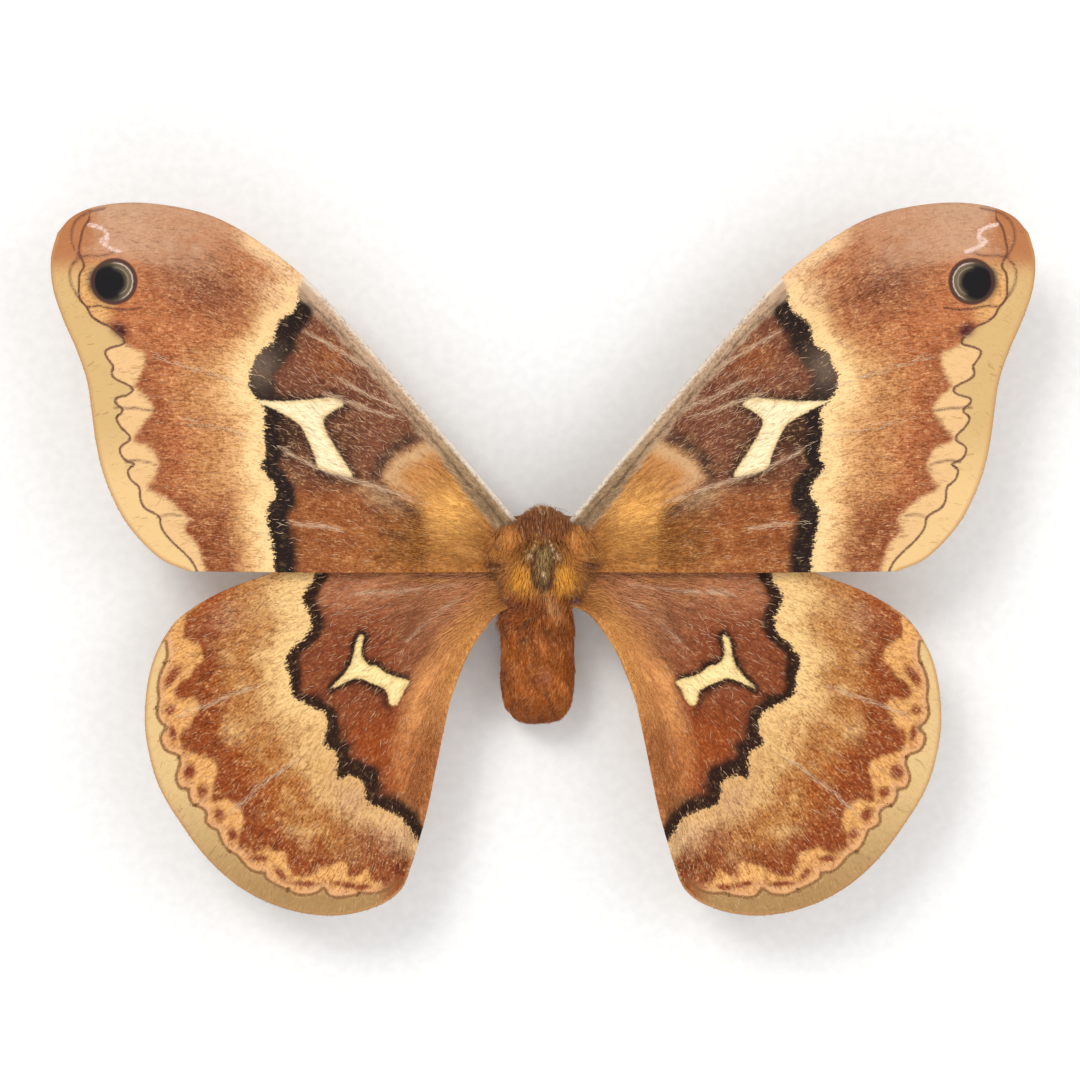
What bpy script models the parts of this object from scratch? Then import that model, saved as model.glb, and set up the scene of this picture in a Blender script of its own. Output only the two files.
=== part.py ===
"""A life-size model of a female tulip tree silk moth, standing with its wings spread flat.

Metres, +Z up. +Y points to the head and +X to the moth's right, so a view from above shows it as a spread specimen.
The origin is on the floor, below the middle of the moth's outline.
"""

import math
import random

import bmesh
import bpy
from mathutils import Matrix, Vector
from mathutils.geometry import delaunay_2d_cdt

MM = 0.001
GAP = 0.3 * MM
SIDES = ((-1, "left"), (1, "right"))

# Wing rims of the right side, from above, in millimetres from the origin.
# The forewing runs from its shoulder up the front edge, round the tip and down the outer edge.
FOREWING_RIM = [
    (1.0, 2.4), (3.3, 4.9), (6.0, 8.1), (12.8, 16.1), (18.3, 22.5), (24.2, 29.0), (27.8, 32.2), (32.5, 35.4),
    (36.8, 37.2), (42.6, 38.1), (47.1, 37.8), (50.0, 36.7), (51.7, 34.9), (52.4, 32.2), (52.2, 29.0), (51.1, 25.7),
    (49.7, 22.5), (48.6, 19.3), (48.1, 16.1), (47.7, 12.9), (47.0, 9.7), (45.8, 6.5), (43.9, 3.3), (40.8, 0.2),
    (37.7, -1.15),
]
FOREWING_HEEL = [(37.7, -1.15), (1.0, -1.2)]
# The hindwing's front edge lies hidden under the forewing.
HINDWING_RIM = [
    (1.0, -0.9), (5.0, -0.6), (14.0, 1.1), (24.0, 0.3), (29.3, -1.4), (34.1, -3.2), (37.1, -4.8), (39.3, -6.5),
    (41.2, -9.4), (42.2, -12.4), (42.65, -16.3), (42.4, -19.6), (41.2, -24.0), (38.9, -28.0), (35.8, -32.1),
    (31.9, -35.4), (27.4, -37.4), (22.5, -38.1), (18.0, -37.2), (15.2, -35.3), (13.9, -32.1), (12.5, -27.2),
    (11.5, -22.4), (10.5, -17.6), (9.5, -13.6), (7.7, -9.2), (5.6, -6.3), (4.0, -5.2), (1.0, -4.8),
]
HINDWING_HEEL = [(1.0, -4.8), (1.0, -0.9)]

# Main veins of the right side, root to rim. Each stops short of the rim.
FOREWING_VEINS = [
    [(4.6, 4.0), (10.6, 11.9), (17.0, 19.5), (24.6, 27.6), (30.4, 32.6)],
    [(4.6, 3.0), (10.4, 9.2), (16.6, 15.6), (22.8, 22.0), (31.0, 29.0), (40.6, 36.2)],
    [(22.8, 22.0), (34.6, 29.0), (46.0, 35.4)],
    [(16.6, 15.6), (21.8, 17.0), (35.4, 26.0), (50.2, 31.8)],
    [(21.8, 17.0), (34.6, 22.6), (49.4, 26.0)],
    [(24.4, 9.6), (34.0, 16.4), (47.4, 20.9)],
    [(4.8, 2.0), (12.0, 5.4), (21.2, 9.0), (24.4, 9.6), (32.6, 13.4), (47.0, 15.7)],
    [(17.4, 7.6), (30.0, 8.8), (46.0, 10.2)],
    [(4.8, 0.4), (14.0, 1.4), (30.0, 3.0), (43.6, 4.8)],
]
HINDWING_VEINS = [
    [(5.2, -1.4), (14.0, -1.0), (24.0, -3.6), (37.2, -6.2)],
    [(14.0, -2.6), (22.0, -5.6), (30.6, -8.2), (40.4, -11.0)],
    [(5.2, -2.4), (14.0, -5.4), (20.4, -10.4), (31.0, -13.4), (41.4, -15.8)],
    [(20.4, -10.4), (29.0, -17.0), (40.6, -21.6)],
    [(14.8, -11.2), (22.0, -18.0), (29.0, -23.2), (38.6, -26.6)],
    [(5.2, -3.4), (10.4, -7.4), (14.8, -11.2), (20.6, -20.0), (27.6, -27.4), (34.6, -31.8)],
    [(11.8, -9.2), (16.8, -20.0), (21.6, -29.0), (27.6, -35.6)],
    [(9.0, -9.0), (12.8, -19.0), (16.6, -30.0), (20.0, -36.2)],
]

WING_THICKNESS = 0.5 * MM
VEIN_HALF_WIDTH = 0.5 * MM
VEIN_TAPER = 0.4
VEIN_RISE_ABOVE = 0.28 * MM
VEIN_RISE_BELOW = 0.16 * MM
RIM_STEP = 2.4 * MM
VEIN_STEP = 3.6 * MM
FIELD_STEP = 4.6 * MM
FIELD_CLEAR = 1.5 * MM

# The wings lie almost level, the hindwing just under the forewing.
WING_ROOT_X = 4.0 * MM
WING_ROOT_Z = 10.3 * MM
WING_REACH = 48.0 * MM
DIHEDRAL = 0.045
TIP_DROOP = 1.6 * MM
SHOULDER = Vector((3.3, 4.9)) * MM
ACROSS_FOREWING = Vector((0.762, -0.648))
FORE_CHORD = 34.0 * MM
FORE_CAMBER = 0.8 * MM
FORE_HEEL_Y = -1.2 * MM
HINDWING_STEP = 1.4 * MM
HINDWING_SLOPE = 0.022
HINDWING_LENGTH = 37.0 * MM
HIND_CAMBER = 0.5 * MM

# Body stations, front to back: y, half width, centre height and half height, in millimetres.
THORAX_STATIONS = [
    (4.9, 1.0, 9.2, 0.9), (4.5, 2.2, 9.0, 1.9), (3.4, 3.2, 8.7, 3.1), (1.8, 3.9, 8.5, 3.9), (0.0, 4.15, 8.4, 4.15),
    (-1.8, 4.15, 8.3, 4.15), (-3.4, 3.8, 8.1, 3.9), (-4.6, 3.0, 7.9, 3.2), (-5.2, 1.5, 7.8, 1.8),
]
ABDOMEN_STATIONS = [
    (-4.0, 2.4, 7.0, 2.5), (-5.0, 3.5, 6.8, 3.5), (-6.4, 3.95, 6.4, 4.0), (-8.2, 4.1, 5.8, 4.1), (-10.2, 4.15, 5.2, 4.1),
    (-12.2, 4.15, 4.4, 4.15), (-13.6, 4.1, 3.95, 4.15), (-15.4, 3.8, 3.65, 3.85), (-16.7, 3.0, 3.4, 3.05),
    (-17.4, 2.1, 3.3, 2.1), (-17.7, 1.0, 3.2, 1.0),
]
ABDOMEN_OFFSET_X = -0.5 * MM
SEGMENT_LENGTH = 2.1 * MM
SEGMENT_GROOVE = 0.1 * MM
BODY_SIDES = 28

HEAD_CENTRE = Vector((0, 4.5, 6.1)) * MM
HEAD_RADII = Vector((1.75, 1.45, 1.9)) * MM
EYE_CENTRE = Vector((1.45, 4.75, 5.7)) * MM
EYE_RADII = Vector((0.95, 1.0, 1.05)) * MM
# The two short feelers below the face: points and the radius at each.
PALP = [((0.45, 5.0, 5.1), 0.42), ((0.6, 5.7, 4.5), 0.4), ((0.6, 6.0, 3.9), 0.22)]

# The antennae lie back under the front edge of the forewings.
ANTENNA_PATH = [
    (0.8, 4.6, 7.1), (1.7, 4.85, 7.35), (3.0, 4.6, 7.7), (4.7, 4.8, 8.1), (6.6, 6.1, 8.4), (8.7, 8.4, 8.6),
    (10.7, 10.8, 8.7), (12.7, 13.2, 8.8),
]
ANTENNA_ROOT_RADIUS = 0.36 * MM
ANTENNA_TIP_RADIUS = 0.26 * MM
BARB_PAIRS = 12
BARB_FIRST = 0.24
BARB_LAST = 0.96
BARB_LENGTH = 1.75 * MM
BARB_RADIUS = 0.27 * MM
BARB_TIP_RADIUS = 0.07 * MM
BARB_SWEEP = math.radians(58)
BARB_CURL = 0.25
BARB_DROOP = 0.25

# Legs of the right side, hip to toe, in millimetres: points and the radius at each.
LEGS = {
    "fore": [
        ((1.5, 1.7, 5.2), 0.7), ((3.2, 2.3, 4.3), 0.72), ((5.4, 4.4, 4.8), 0.5), ((5.9, 4.8, 4.5), 0.46),
        ((7.4, 6.0, 2.6), 0.52), ((8.5, 6.9, 0.9), 0.42), ((8.9, 7.2, 0.36), 0.4), ((9.9, 8.2, 0.3), 0.38),
        ((10.8, 9.2, 0.3), 0.33), ((11.3, 9.8, 0.26), 0.26),
    ],
    "mid": [
        ((1.7, -0.3, 5.0), 0.75), ((3.8, 0.1, 4.1), 0.78), ((6.6, 0.6, 5.1), 0.52), ((7.3, 0.7, 4.8), 0.48),
        ((8.8, 1.0, 2.8), 0.56), ((10.0, 1.3, 0.9), 0.44), ((10.5, 1.4, 0.36), 0.42), ((11.9, 1.8, 0.3), 0.4),
        ((13.2, 2.2, 0.3), 0.34), ((14.0, 2.4, 0.26), 0.26),
    ],
    "hind": [
        ((1.9, -2.6, 5.0), 0.75), ((4.0, -3.5, 4.1), 0.78), ((6.6, -5.2, 4.9), 0.54), ((7.1, -5.8, 4.6), 0.48),
        ((8.3, -7.6, 2.8), 0.6), ((9.3, -9.2, 0.9), 0.46), ((9.7, -9.8, 0.36), 0.42), ((10.5, -11.1, 0.3), 0.4),
        ((11.3, -12.3, 0.3), 0.34), ((11.8, -13.1, 0.26), 0.26),
    ],
}

# The long coat of the thorax: rows of flat locks, each lying back over the next.
COAT_SEED = 7
COAT_ROWS = 9
LOCKS_ROUND = 17
COLLAR_LOCKS = 7
COLLAR_ARC = math.radians(62)
COAT_ARC = math.radians(150)
# No lock grows between these turns from the top, where the wings leave the body.
WING_SOCKET = (math.radians(60), math.radians(100))
FRONT_ROW = 0.15
BACK_ROW = 0.96
COLLAR_ROW = 0.17
LOCK_LENGTH = 3.0 * MM
LOCK_WIDTH = 1.25 * MM
LOCK_THICKNESS = 0.5 * MM
LOCK_SUNK = 0.75 * MM
# How far along a lock each ring lies, and its width there as a share of the whole.
LOCK_RINGS = [(0.0, 0.8), (0.35, 1.0), (0.7, 0.75), (1.0, 0.12)]
LOCK_LIFT = 0.42
LOCK_BEND = 0.22
LOCK_FAN = 0.5
COLLAR_LENGTH = 0.62
BELLY_LENGTH = 0.7
LENGTH_SPREAD = 0.22
WIDTH_SPREAD = 0.15
PLACE_SPREAD = 0.28

COLOURS = {
    "wing": ((0.42, 0.17, 0.06, 1), 0.75),
    "coat": ((0.50, 0.24, 0.07, 1), 0.9),
    "abdomen": ((0.33, 0.12, 0.04, 1), 0.9),
    "head": ((0.30, 0.11, 0.05, 1), 0.85),
    "eye": ((0.03, 0.02, 0.015, 1), 0.2),
    "antenna": ((0.24, 0.12, 0.06, 1), 0.8),
    "leg": ((0.30, 0.13, 0.05, 1), 0.85),
}


def clear_scene():
    for obj in list(bpy.data.objects):
        bpy.data.objects.remove(obj)


def material(name):
    made = bpy.data.materials.get(name)
    if made is None:
        colour, roughness = COLOURS[name]
        made = bpy.data.materials.new(name)
        made.use_nodes = True
        shader = made.node_tree.nodes["Principled BSDF"]
        shader.inputs["Base Color"].default_value = colour
        shader.inputs["Roughness"].default_value = roughness
        shader.inputs["Metallic"].default_value = 0
    return made


def object_from(name, verts, faces, finish):
    """A closed mesh object with its faces pointing out."""
    mesh = bpy.data.meshes.new(name)
    mesh.from_pydata([tuple(v) for v in verts], [], faces)
    form = bmesh.new()
    form.from_mesh(mesh)
    bmesh.ops.recalc_face_normals(form, faces=form.faces)
    if form.calc_volume(signed=True) < 0:
        bmesh.ops.reverse_faces(form, faces=form.faces)
    form.to_mesh(mesh)
    form.free()
    mesh.materials.append(material(finish))
    obj = bpy.data.objects.new(name, mesh)
    bpy.context.scene.collection.objects.link(obj)
    return obj


def grown(obj, by=GAP):
    """The same closed form with its surface moved out by a gap, for cutting its neighbours clear of it."""
    form = bmesh.new()
    form.from_mesh(obj.data)
    form.normal_update()
    for vert, push in [(v, v.normal * (by * v.calc_shell_factor())) for v in form.verts]:
        vert.co += push
    form.to_mesh(obj.data)
    form.free()
    return obj


def islands_of(form):
    """The connected groups of faces of a bmesh."""
    unseen, groups = set(form.faces), []
    while unseen:
        group, front = set(), [unseen.pop()]
        while front:
            face = front.pop()
            group.add(face)
            near = {n for e in face.edges for n in e.link_faces} & unseen
            unseen -= near
            front.extend(near)
        groups.append(group)
    return groups


def enclosed_volume(faces):
    total = 0.0
    for face in faces:
        corners = [v.co for v in face.verts]
        for b, c in zip(corners[1:], corners[2:]):
            total += corners[0].dot(b.cross(c)) / 6
    return total


def keep_largest(obj):
    """Leaves only the largest closed surface of the object."""
    form = bmesh.new()
    form.from_mesh(obj.data)
    groups = islands_of(form)
    if len(groups) > 1:
        best = max(groups, key=enclosed_volume)
        doomed = [f for group in groups if group is not best for f in group]
        bmesh.ops.delete(form, geom=doomed, context="FACES")
        form.to_mesh(obj.data)
    form.free()


def combine(target, pieces, operation, solver="EXACT"):
    """One Boolean of the target with a collection of closed pieces, applied, and the pieces removed."""
    heap = bpy.data.collections.new("pieces")
    for piece in pieces:
        bpy.context.scene.collection.objects.unlink(piece)
        heap.objects.link(piece)
    boolean = target.modifiers.new(operation, "BOOLEAN")
    boolean.operation = operation
    boolean.operand_type = "COLLECTION"
    boolean.collection = heap
    boolean.solver = solver
    bpy.context.view_layer.update()
    graph = bpy.context.evaluated_depsgraph_get()
    mesh = bpy.data.meshes.new_from_object(target.evaluated_get(graph))
    target.modifiers.clear()
    target.data = mesh
    for piece in list(heap.objects):
        bpy.data.objects.remove(piece)
    bpy.data.collections.remove(heap)
    keep_largest(target)
    return target


def cut(target, cutters, solver="EXACT"):
    """Cuts the target clear of each cutter in turn."""
    for cutter in cutters:
        combine(target, [cutter], "DIFFERENCE", solver)
    return target


def smooth_line(points, step):
    """Points along a Catmull-Rom curve through the given points, about a step apart."""
    points = [Vector(p) for p in points]
    ends = [points[0] * 2 - points[1], *points, points[-1] * 2 - points[-2]]
    dense = []
    per_span = 12
    for a, b, c, d in zip(ends, ends[1:], ends[2:], ends[3:]):
        for k in range(per_span):
            t = k / per_span
            bend = (2 * a - 5 * b + 4 * c - d) * t**2 + (3 * b - a - 3 * c + d) * t**3
            dense.append(0.5 * (2 * b + (c - a) * t + bend))
    dense.append(points[-1])
    lengths = [0.0]
    for a, b in zip(dense, dense[1:]):
        lengths.append(lengths[-1] + (b - a).length)
    count = max(2, round(lengths[-1] / step))
    line, at = [], 0
    for k in range(count + 1):
        goal = lengths[-1] * k / count
        while at < len(dense) - 2 and lengths[at + 1] < goal:
            at += 1
        share = (goal - lengths[at]) / (lengths[at + 1] - lengths[at])
        line.append(dense[at].lerp(dense[at + 1], min(1.0, share)))
    return line


def skin_over(name, rings, finish):
    """A closed skin over rings of equal length, with a point at the middle of each end."""
    sides = len(rings[0])
    verts = [v for ring in rings for v in ring]
    faces = []
    for r in range(len(rings) - 1):
        for k in range(sides):
            a, b = r * sides + k, r * sides + (k + 1) % sides
            faces.append((a, b, b + sides, a + sides))
    for ring, first in ((rings[0], 0), (rings[-1], (len(rings) - 1) * sides)):
        verts.append(sum(ring, Vector()) / sides)
        faces += [(first + (k + 1) % sides, first + k, len(verts) - 1) for k in range(sides)]
    return object_from(name, verts, faces, finish)


def lofted(name, stations, finish, offset_x=0.0, groove=0.0):
    """A body of oval rings along Y, pinched at each segment and flat where it would pass below the floor."""
    rings = []
    for y, half_width, z, half_height in stations:
        pinch = groove * (0.5 + 0.5 * math.cos(2 * math.pi * y * MM / SEGMENT_LENGTH))
        wide, high = half_width * MM - pinch, half_height * MM - pinch
        ring = []
        for k in range(BODY_SIDES):
            turn = 2 * math.pi * k / BODY_SIDES
            point = Vector((offset_x + wide * math.cos(turn), y * MM, z * MM + high * math.sin(turn)))
            point.z = max(point.z, 0.0)
            ring.append(point)
        rings.append(ring)
    return skin_over(name, rings, finish)


def thorax_core(name="core"):
    return lofted(name, THORAX_STATIONS, "coat")


def abdomen(name="abdomen"):
    """The abdomen, with a ring at each segment's groove and crest."""
    stations = []
    for (y0, *low), (y1, *high) in zip(ABDOMEN_STATIONS, ABDOMEN_STATIONS[1:]):
        steps = max(1, round((y0 - y1) * MM / (SEGMENT_LENGTH / 2)))
        for k in range(steps):
            t = k / steps
            stations.append((y0 + (y1 - y0) * t, *[a + (b - a) * t for a, b in zip(low, high)]))
    return lofted(name, [*stations, ABDOMEN_STATIONS[-1]], "abdomen", ABDOMEN_OFFSET_X, SEGMENT_GROOVE)


def ellipsoid(name, centre, radii, finish, turns=20, levels=12):
    mesh = bpy.data.meshes.new(name)
    form = bmesh.new()
    bmesh.ops.create_uvsphere(form, u_segments=turns, v_segments=levels, radius=1)
    bmesh.ops.transform(form, matrix=Matrix.Translation(centre) @ Matrix.Diagonal((*radii, 1)), verts=form.verts)
    form.to_mesh(mesh)
    form.free()
    mesh.materials.append(material(finish))
    obj = bpy.data.objects.new(name, mesh)
    bpy.context.scene.collection.objects.link(obj)
    return obj


def tube(name, path, radii, sides, finish, flat=1.0, up=Vector((0, 0, 1))):
    """A tapered limb along a path, squeezed along up by flat, with a flat sole where it would pass below the floor."""
    rings = []
    for i, point in enumerate(path):
        along = (path[min(i + 1, len(path) - 1)] - path[max(i - 1, 0)]).normalized()
        across = along.cross(up).normalized()
        rise = across.cross(along).normalized()
        ring = []
        for k in range(sides):
            turn = 2 * math.pi * (k + 0.5) / sides
            at = point + radii[i] * (across * math.cos(turn) + rise * (flat * math.sin(turn)))
            at.z = max(at.z, 0.0)
            ring.append(at)
        rings.append(ring)
    return skin_over(name, rings, finish)


def placed(point, side):
    """A point of the right side, in millimetres, set on either side of the moth."""
    return Vector((side * point[0], point[1], point[2])) * MM


def limb(name, stations, side, finish):
    path = [placed(point, side) for point, _ in stations]
    radii = [radius * MM for _, radius in stations]
    return tube(name, path, radii, 8, finish)


def skull(name="skull"):
    return ellipsoid(name, HEAD_CENTRE, HEAD_RADII, "head")


def eye(name, side):
    return ellipsoid(name, Vector((side * EYE_CENTRE.x, *EYE_CENTRE.yz)), EYE_RADII, "eye", turns=16, levels=10)


def head(name="head"):
    """The small head, tucked low in front, with its two short feelers below the face."""
    return combine(skull(name), [limb("palp", PALP, side, "head") for side, _ in SIDES], "UNION")


def leg(name, key, side):
    return limb(name, LEGS[key], side, "leg")


def antenna_shaft(name, side):
    line = smooth_line([placed(point, side) for point in ANTENNA_PATH], BARB_LENGTH / 2)
    last = len(line) - 1
    radii = [ANTENNA_ROOT_RADIUS + (ANTENNA_TIP_RADIUS - ANTENNA_ROOT_RADIUS) * i / last for i in range(last + 1)]
    return line, tube(name, line, radii, 8, "antenna")


def antenna(name, side):
    """A tapered shaft with a row of barbs down each side, swept towards its tip."""
    line, shaft = antenna_shaft(name, side)
    last = len(line) - 1
    barbs = []
    for pair in range(BARB_PAIRS):
        share = BARB_FIRST + (BARB_LAST - BARB_FIRST) * pair / (BARB_PAIRS - 1)
        at = min(int(share * last), last - 1)
        base = line[at].lerp(line[at + 1], share * last - at)
        along = (line[at + 1] - line[at - 1]).normalized()
        length = BARB_LENGTH * (0.35 + 0.65 * math.sin(math.pi * (0.12 + 0.83 * share)))
        for hand in (1, -1):
            across = along.cross(Vector((0, 0, hand))).normalized()
            way = along * math.cos(BARB_SWEEP) + across * math.sin(BARB_SWEEP) - Vector((0, 0, BARB_DROOP))
            way.normalize()
            path = [base, base + way * length * 0.5, base + (way + along * BARB_CURL) * length]
            barbs.append(tube("barb", path, [BARB_RADIUS, BARB_RADIUS, BARB_TIP_RADIUS], 4, "antenna"))
    return combine(shaft, barbs, "UNION", "MANIFOLD")


def fore_height(x, y):
    """Height of the forewing's middle surface."""
    out = abs(x) - WING_ROOT_X
    reach = max(0.0, out / WING_REACH)
    behind = (Vector((abs(x), y)) - SHOULDER).dot(ACROSS_FOREWING) / FORE_CHORD
    bulge = FORE_CAMBER * math.sin(math.pi * min(1.0, max(0.0, behind))) * min(1.0, 3 * reach)
    return WING_ROOT_Z + DIHEDRAL * out - TIP_DROOP * reach**3 + bulge


def hind_height(x, y):
    """Height of the hindwing's middle surface: a step below the forewing, falling away behind it."""
    behind = max(0.0, FORE_HEEL_Y - y)
    bulge = HIND_CAMBER * math.sin(math.pi * min(1.0, behind / HINDWING_LENGTH))
    return fore_height(x, FORE_HEEL_Y) - HINDWING_STEP - HINDWING_SLOPE * behind + bulge


def nearest_on_lines(point, lines):
    """Distance from a point to the nearest of several lines, and how far along that line it lies, 0 to 1."""
    best, share = math.inf, 0.0
    for line in lines:
        for i, (a, b) in enumerate(zip(line, line[1:])):
            edge = b - a
            t = min(1.0, max(0.0, (point - a).dot(edge) / edge.length_squared))
            gap = (a + edge * t - point).length
            if gap < best:
                best, share = gap, (i + t) / (len(line) - 1)
    return best, share


def inside(point, outline):
    crossed = False
    for a, b in zip(outline, outline[1:] + outline[:1]):
        if (a.y > point.y) != (b.y > point.y) and point.x < a.x + (b.x - a.x) * (point.y - a.y) / (b.y - a.y):
            crossed = not crossed
    return crossed


def field_points(outline, lines):
    """A triangular grid of points inside the outline, clear of it and of the veins."""
    rim = outline + outline[:1]
    low = Vector((min(p.x for p in outline), min(p.y for p in outline)))
    high = Vector((max(p.x for p in outline), max(p.y for p in outline)))
    found, row, y = [], 0, low.y
    while y < high.y:
        x = low.x + (row % 2) * FIELD_STEP / 2
        while x < high.x:
            point = Vector((x, y))
            if inside(point, outline) and nearest_on_lines(point, [rim, *lines])[0] > FIELD_CLEAR:
                found.append(point)
            x += FIELD_STEP
        y += FIELD_STEP * math.sin(math.pi / 3)
        row += 1
    return found


def vein_strands(line):
    """A vein's two foot lines and its crest between them, which meet at its outer end."""
    left, right = [], []
    last = len(line) - 1
    for i, point in enumerate(line[:-1]):
        along = (line[i + 1] - line[max(i - 1, 0)]).normalized()
        across = Vector((-along.y, along.x)) * VEIN_HALF_WIDTH * (1 - VEIN_TAPER * i / last)
        left.append(point + across)
        right.append(point - across)
    return [left + [line[-1]], line, right + [line[-1]]]


def ridge_height(point, lines):
    """How far up a vein's side a point lies, 1 on the crest near the root and less towards the rim."""
    gap, share = nearest_on_lines(point, lines)
    return max(0.0, 1 - gap / (VEIN_HALF_WIDTH * (1 - VEIN_TAPER * share))) * (1 - 0.5 * share)


def wing(name, rim, heel, veins, height, side):
    """A thin wing whose veins stand up as ridges on both faces, split into triangles alike above and below."""
    outline = smooth_line([Vector(p) * MM for p in rim], RIM_STEP)
    outline += smooth_line([Vector(p) * MM for p in heel], RIM_STEP)[1:]
    if (outline[-1] - outline[0]).length < GAP:
        outline.pop()
    lines = [smooth_line([Vector(p) * MM for p in vein], VEIN_STEP) for vein in veins]
    points, edges = list(outline), []
    for line in lines:
        for strand in vein_strands(line):
            first = len(points)
            points += strand
            edges += [(first + k, first + k + 1) for k in range(len(strand) - 1)]
    points += field_points(outline, lines)
    flat, _, faces, _, _, _ = delaunay_2d_cdt(points, edges, [list(range(len(outline)))], 1, 0.1 * GAP)
    ridges = [ridge_height(point, lines) for point in flat]
    verts = []
    for way, rise in ((1, VEIN_RISE_ABOVE), (-1, VEIN_RISE_BELOW)):
        for point, ridge in zip(flat, ridges):
            z = height(point.x, point.y) + way * (WING_THICKNESS / 2 + rise * ridge)
            verts.append(Vector((side * point.x, point.y, z)))
    half = len(flat)
    sides = {(a, b) for face in faces for a, b in zip(face, [*face[1:], face[0]])}
    skin = [tuple(face) for face in faces]
    skin += [tuple(half + k for k in reversed(face)) for face in faces]
    for a, b in sorted(sides):
        if (b, a) not in sides:
            skin += [(b, a, half + a), (b, half + a, half + b)]
    return object_from(name, verts, skin, "wing")


def forewing(name, side):
    return wing(name, FOREWING_RIM, FOREWING_HEEL, FOREWING_VEINS, fore_height, side)


def hindwing(name, side):
    return wing(name, HINDWING_RIM, HINDWING_HEEL, HINDWING_VEINS, hind_height, side)


def coat_root(share, turn):
    """A point of the thorax core, and the way its surface faces. turn is 0 at the top, and positive to the right."""
    at = share * (len(THORAX_STATIONS) - 1)
    low = min(int(at), len(THORAX_STATIONS) - 2)
    ahead, behind = THORAX_STATIONS[low], THORAX_STATIONS[low + 1]
    y, wide, z, high = (a + (b - a) * (at - low) for a, b in zip(ahead, behind))
    point = Vector((wide * math.sin(turn), y, z + high * math.cos(turn))) * MM
    slope = (behind[1] - ahead[1]) / (ahead[0] - behind[0])
    facing = Vector((math.sin(turn) / wide, 0, math.cos(turn) / high)).normalized()
    return point, (facing + Vector((0, max(-1.2, min(1.2, slope)), 0))).normalized()


def lock(root, facing, way, length, width):
    """One flat lock: its root is sunk in the core, and its tip bends back down along the coat's lie."""
    start = root - facing * LOCK_SUNK
    path = []
    for share, _ in LOCK_RINGS:
        lift = length * (LOCK_LIFT * share - LOCK_BEND * share**2) + (LOCK_SUNK if share else 0)
        path.append(start + way * (length * share) + facing * lift)
    radii = [width / 2 * wide for _, wide in LOCK_RINGS]
    # A four-sided section stands on its corners' middles, so it is made thicker by the root of two.
    return tube("lock", path, radii, 4, "coat", LOCK_THICKNESS / LOCK_WIDTH * math.sqrt(2), facing)


def coat_places():
    """Where each lock grows on the thorax, as a share of its length and a turn, and which way along Y it lies."""
    places = []
    for row in range(COAT_ROWS):
        share = FRONT_ROW + (BACK_ROW - FRONT_ROW) * row / (COAT_ROWS - 1)
        for k in range(LOCKS_ROUND):
            places.append((share, COAT_ARC * ((k + 0.5 * (row % 2)) / (LOCKS_ROUND - 0.5) * 2 - 1), -1))
    for k in range(COLLAR_LOCKS):
        places.append((COLLAR_ROW, COLLAR_ARC * ((k + 0.5) / COLLAR_LOCKS * 2 - 1), 1))
    return places


def coat_locks():
    """The thorax's locks: rows that lie back over the rump, and a collar that points forward."""
    draw = random.Random(COAT_SEED)
    locks = []
    for share, turn, lie in coat_places():
        turn += COAT_ARC * draw.uniform(-PLACE_SPREAD, PLACE_SPREAD) / LOCKS_ROUND
        length = LOCK_LENGTH * (1 + draw.uniform(-LENGTH_SPREAD, LENGTH_SPREAD))
        width = LOCK_WIDTH * (1 + draw.uniform(-WIDTH_SPREAD, WIDTH_SPREAD))
        if WING_SOCKET[0] < abs(turn) < WING_SOCKET[1]:
            continue
        if lie > 0:
            length *= COLLAR_LENGTH
        if abs(turn) > WING_SOCKET[1]:
            length *= BELLY_LENGTH
        root, facing = coat_root(share, turn)
        way = Vector((LOCK_FAN * math.sin(turn), lie, 0))
        way = (way - facing * way.dot(facing)).normalized()
        locks.append(lock(root, facing, way, length, width))
    return locks


def around_thorax():
    """Every neighbour of the thorax, grown by the gap."""
    near = [abdomen(), skull()]
    for side, _ in SIDES:
        near += [forewing("wing", side), hindwing("wing", side), eye("eye", side), antenna_shaft("antenna", side)[1]]
        near += [leg("leg", key, side) for key in LEGS]
    return [grown(obj) for obj in near]


def thorax(name):
    """The thorax's core with its locks, which are cut clear of all that the thorax carries."""
    locks = coat_locks()
    coat = combine(grown(thorax_core(), -LOCK_SUNK / 2), locks, "UNION")
    cut(coat, around_thorax(), "MANIFOLD")
    return combine(thorax_core(name), [coat], "UNION", "MANIFOLD")


def build():
    clear_scene()
    thorax("thorax")
    cut(abdomen(), [grown(thorax_core())])
    cut(head(), [grown(thorax_core()), *[grown(eye("eye", side)) for side, _ in SIDES]])
    for side, word in SIDES:
        cut(eye(f"eye_{word}", side), [grown(thorax_core())])
        cut(forewing(f"forewing_{word}", side), [grown(thorax_core())], "MANIFOLD")
        cut(hindwing(f"hindwing_{word}", side), [grown(thorax_core()), grown(abdomen("belly"))], "MANIFOLD")
        cut(antenna(f"antenna_{word}", side), [grown(skull()), grown(thorax_core())], "MANIFOLD")
        for key in LEGS:
            cut(leg(f"{key}leg_{word}", key, side), [grown(thorax_core())])
    for obj in bpy.context.scene.objects:
        obj.data.shade_smooth()
        obj.data.set_sharp_from_angle(angle=math.radians(50))


build()
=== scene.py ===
"""The looks of a life-size tulip tree silk moth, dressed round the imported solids.

Lengths are in millimetres until a mesh is made. +Y points to the head and +X to the moth's right.
A wing's markings are values worked out at any place on it, so the membrane and the scales over it agree.
"""

import math

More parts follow.
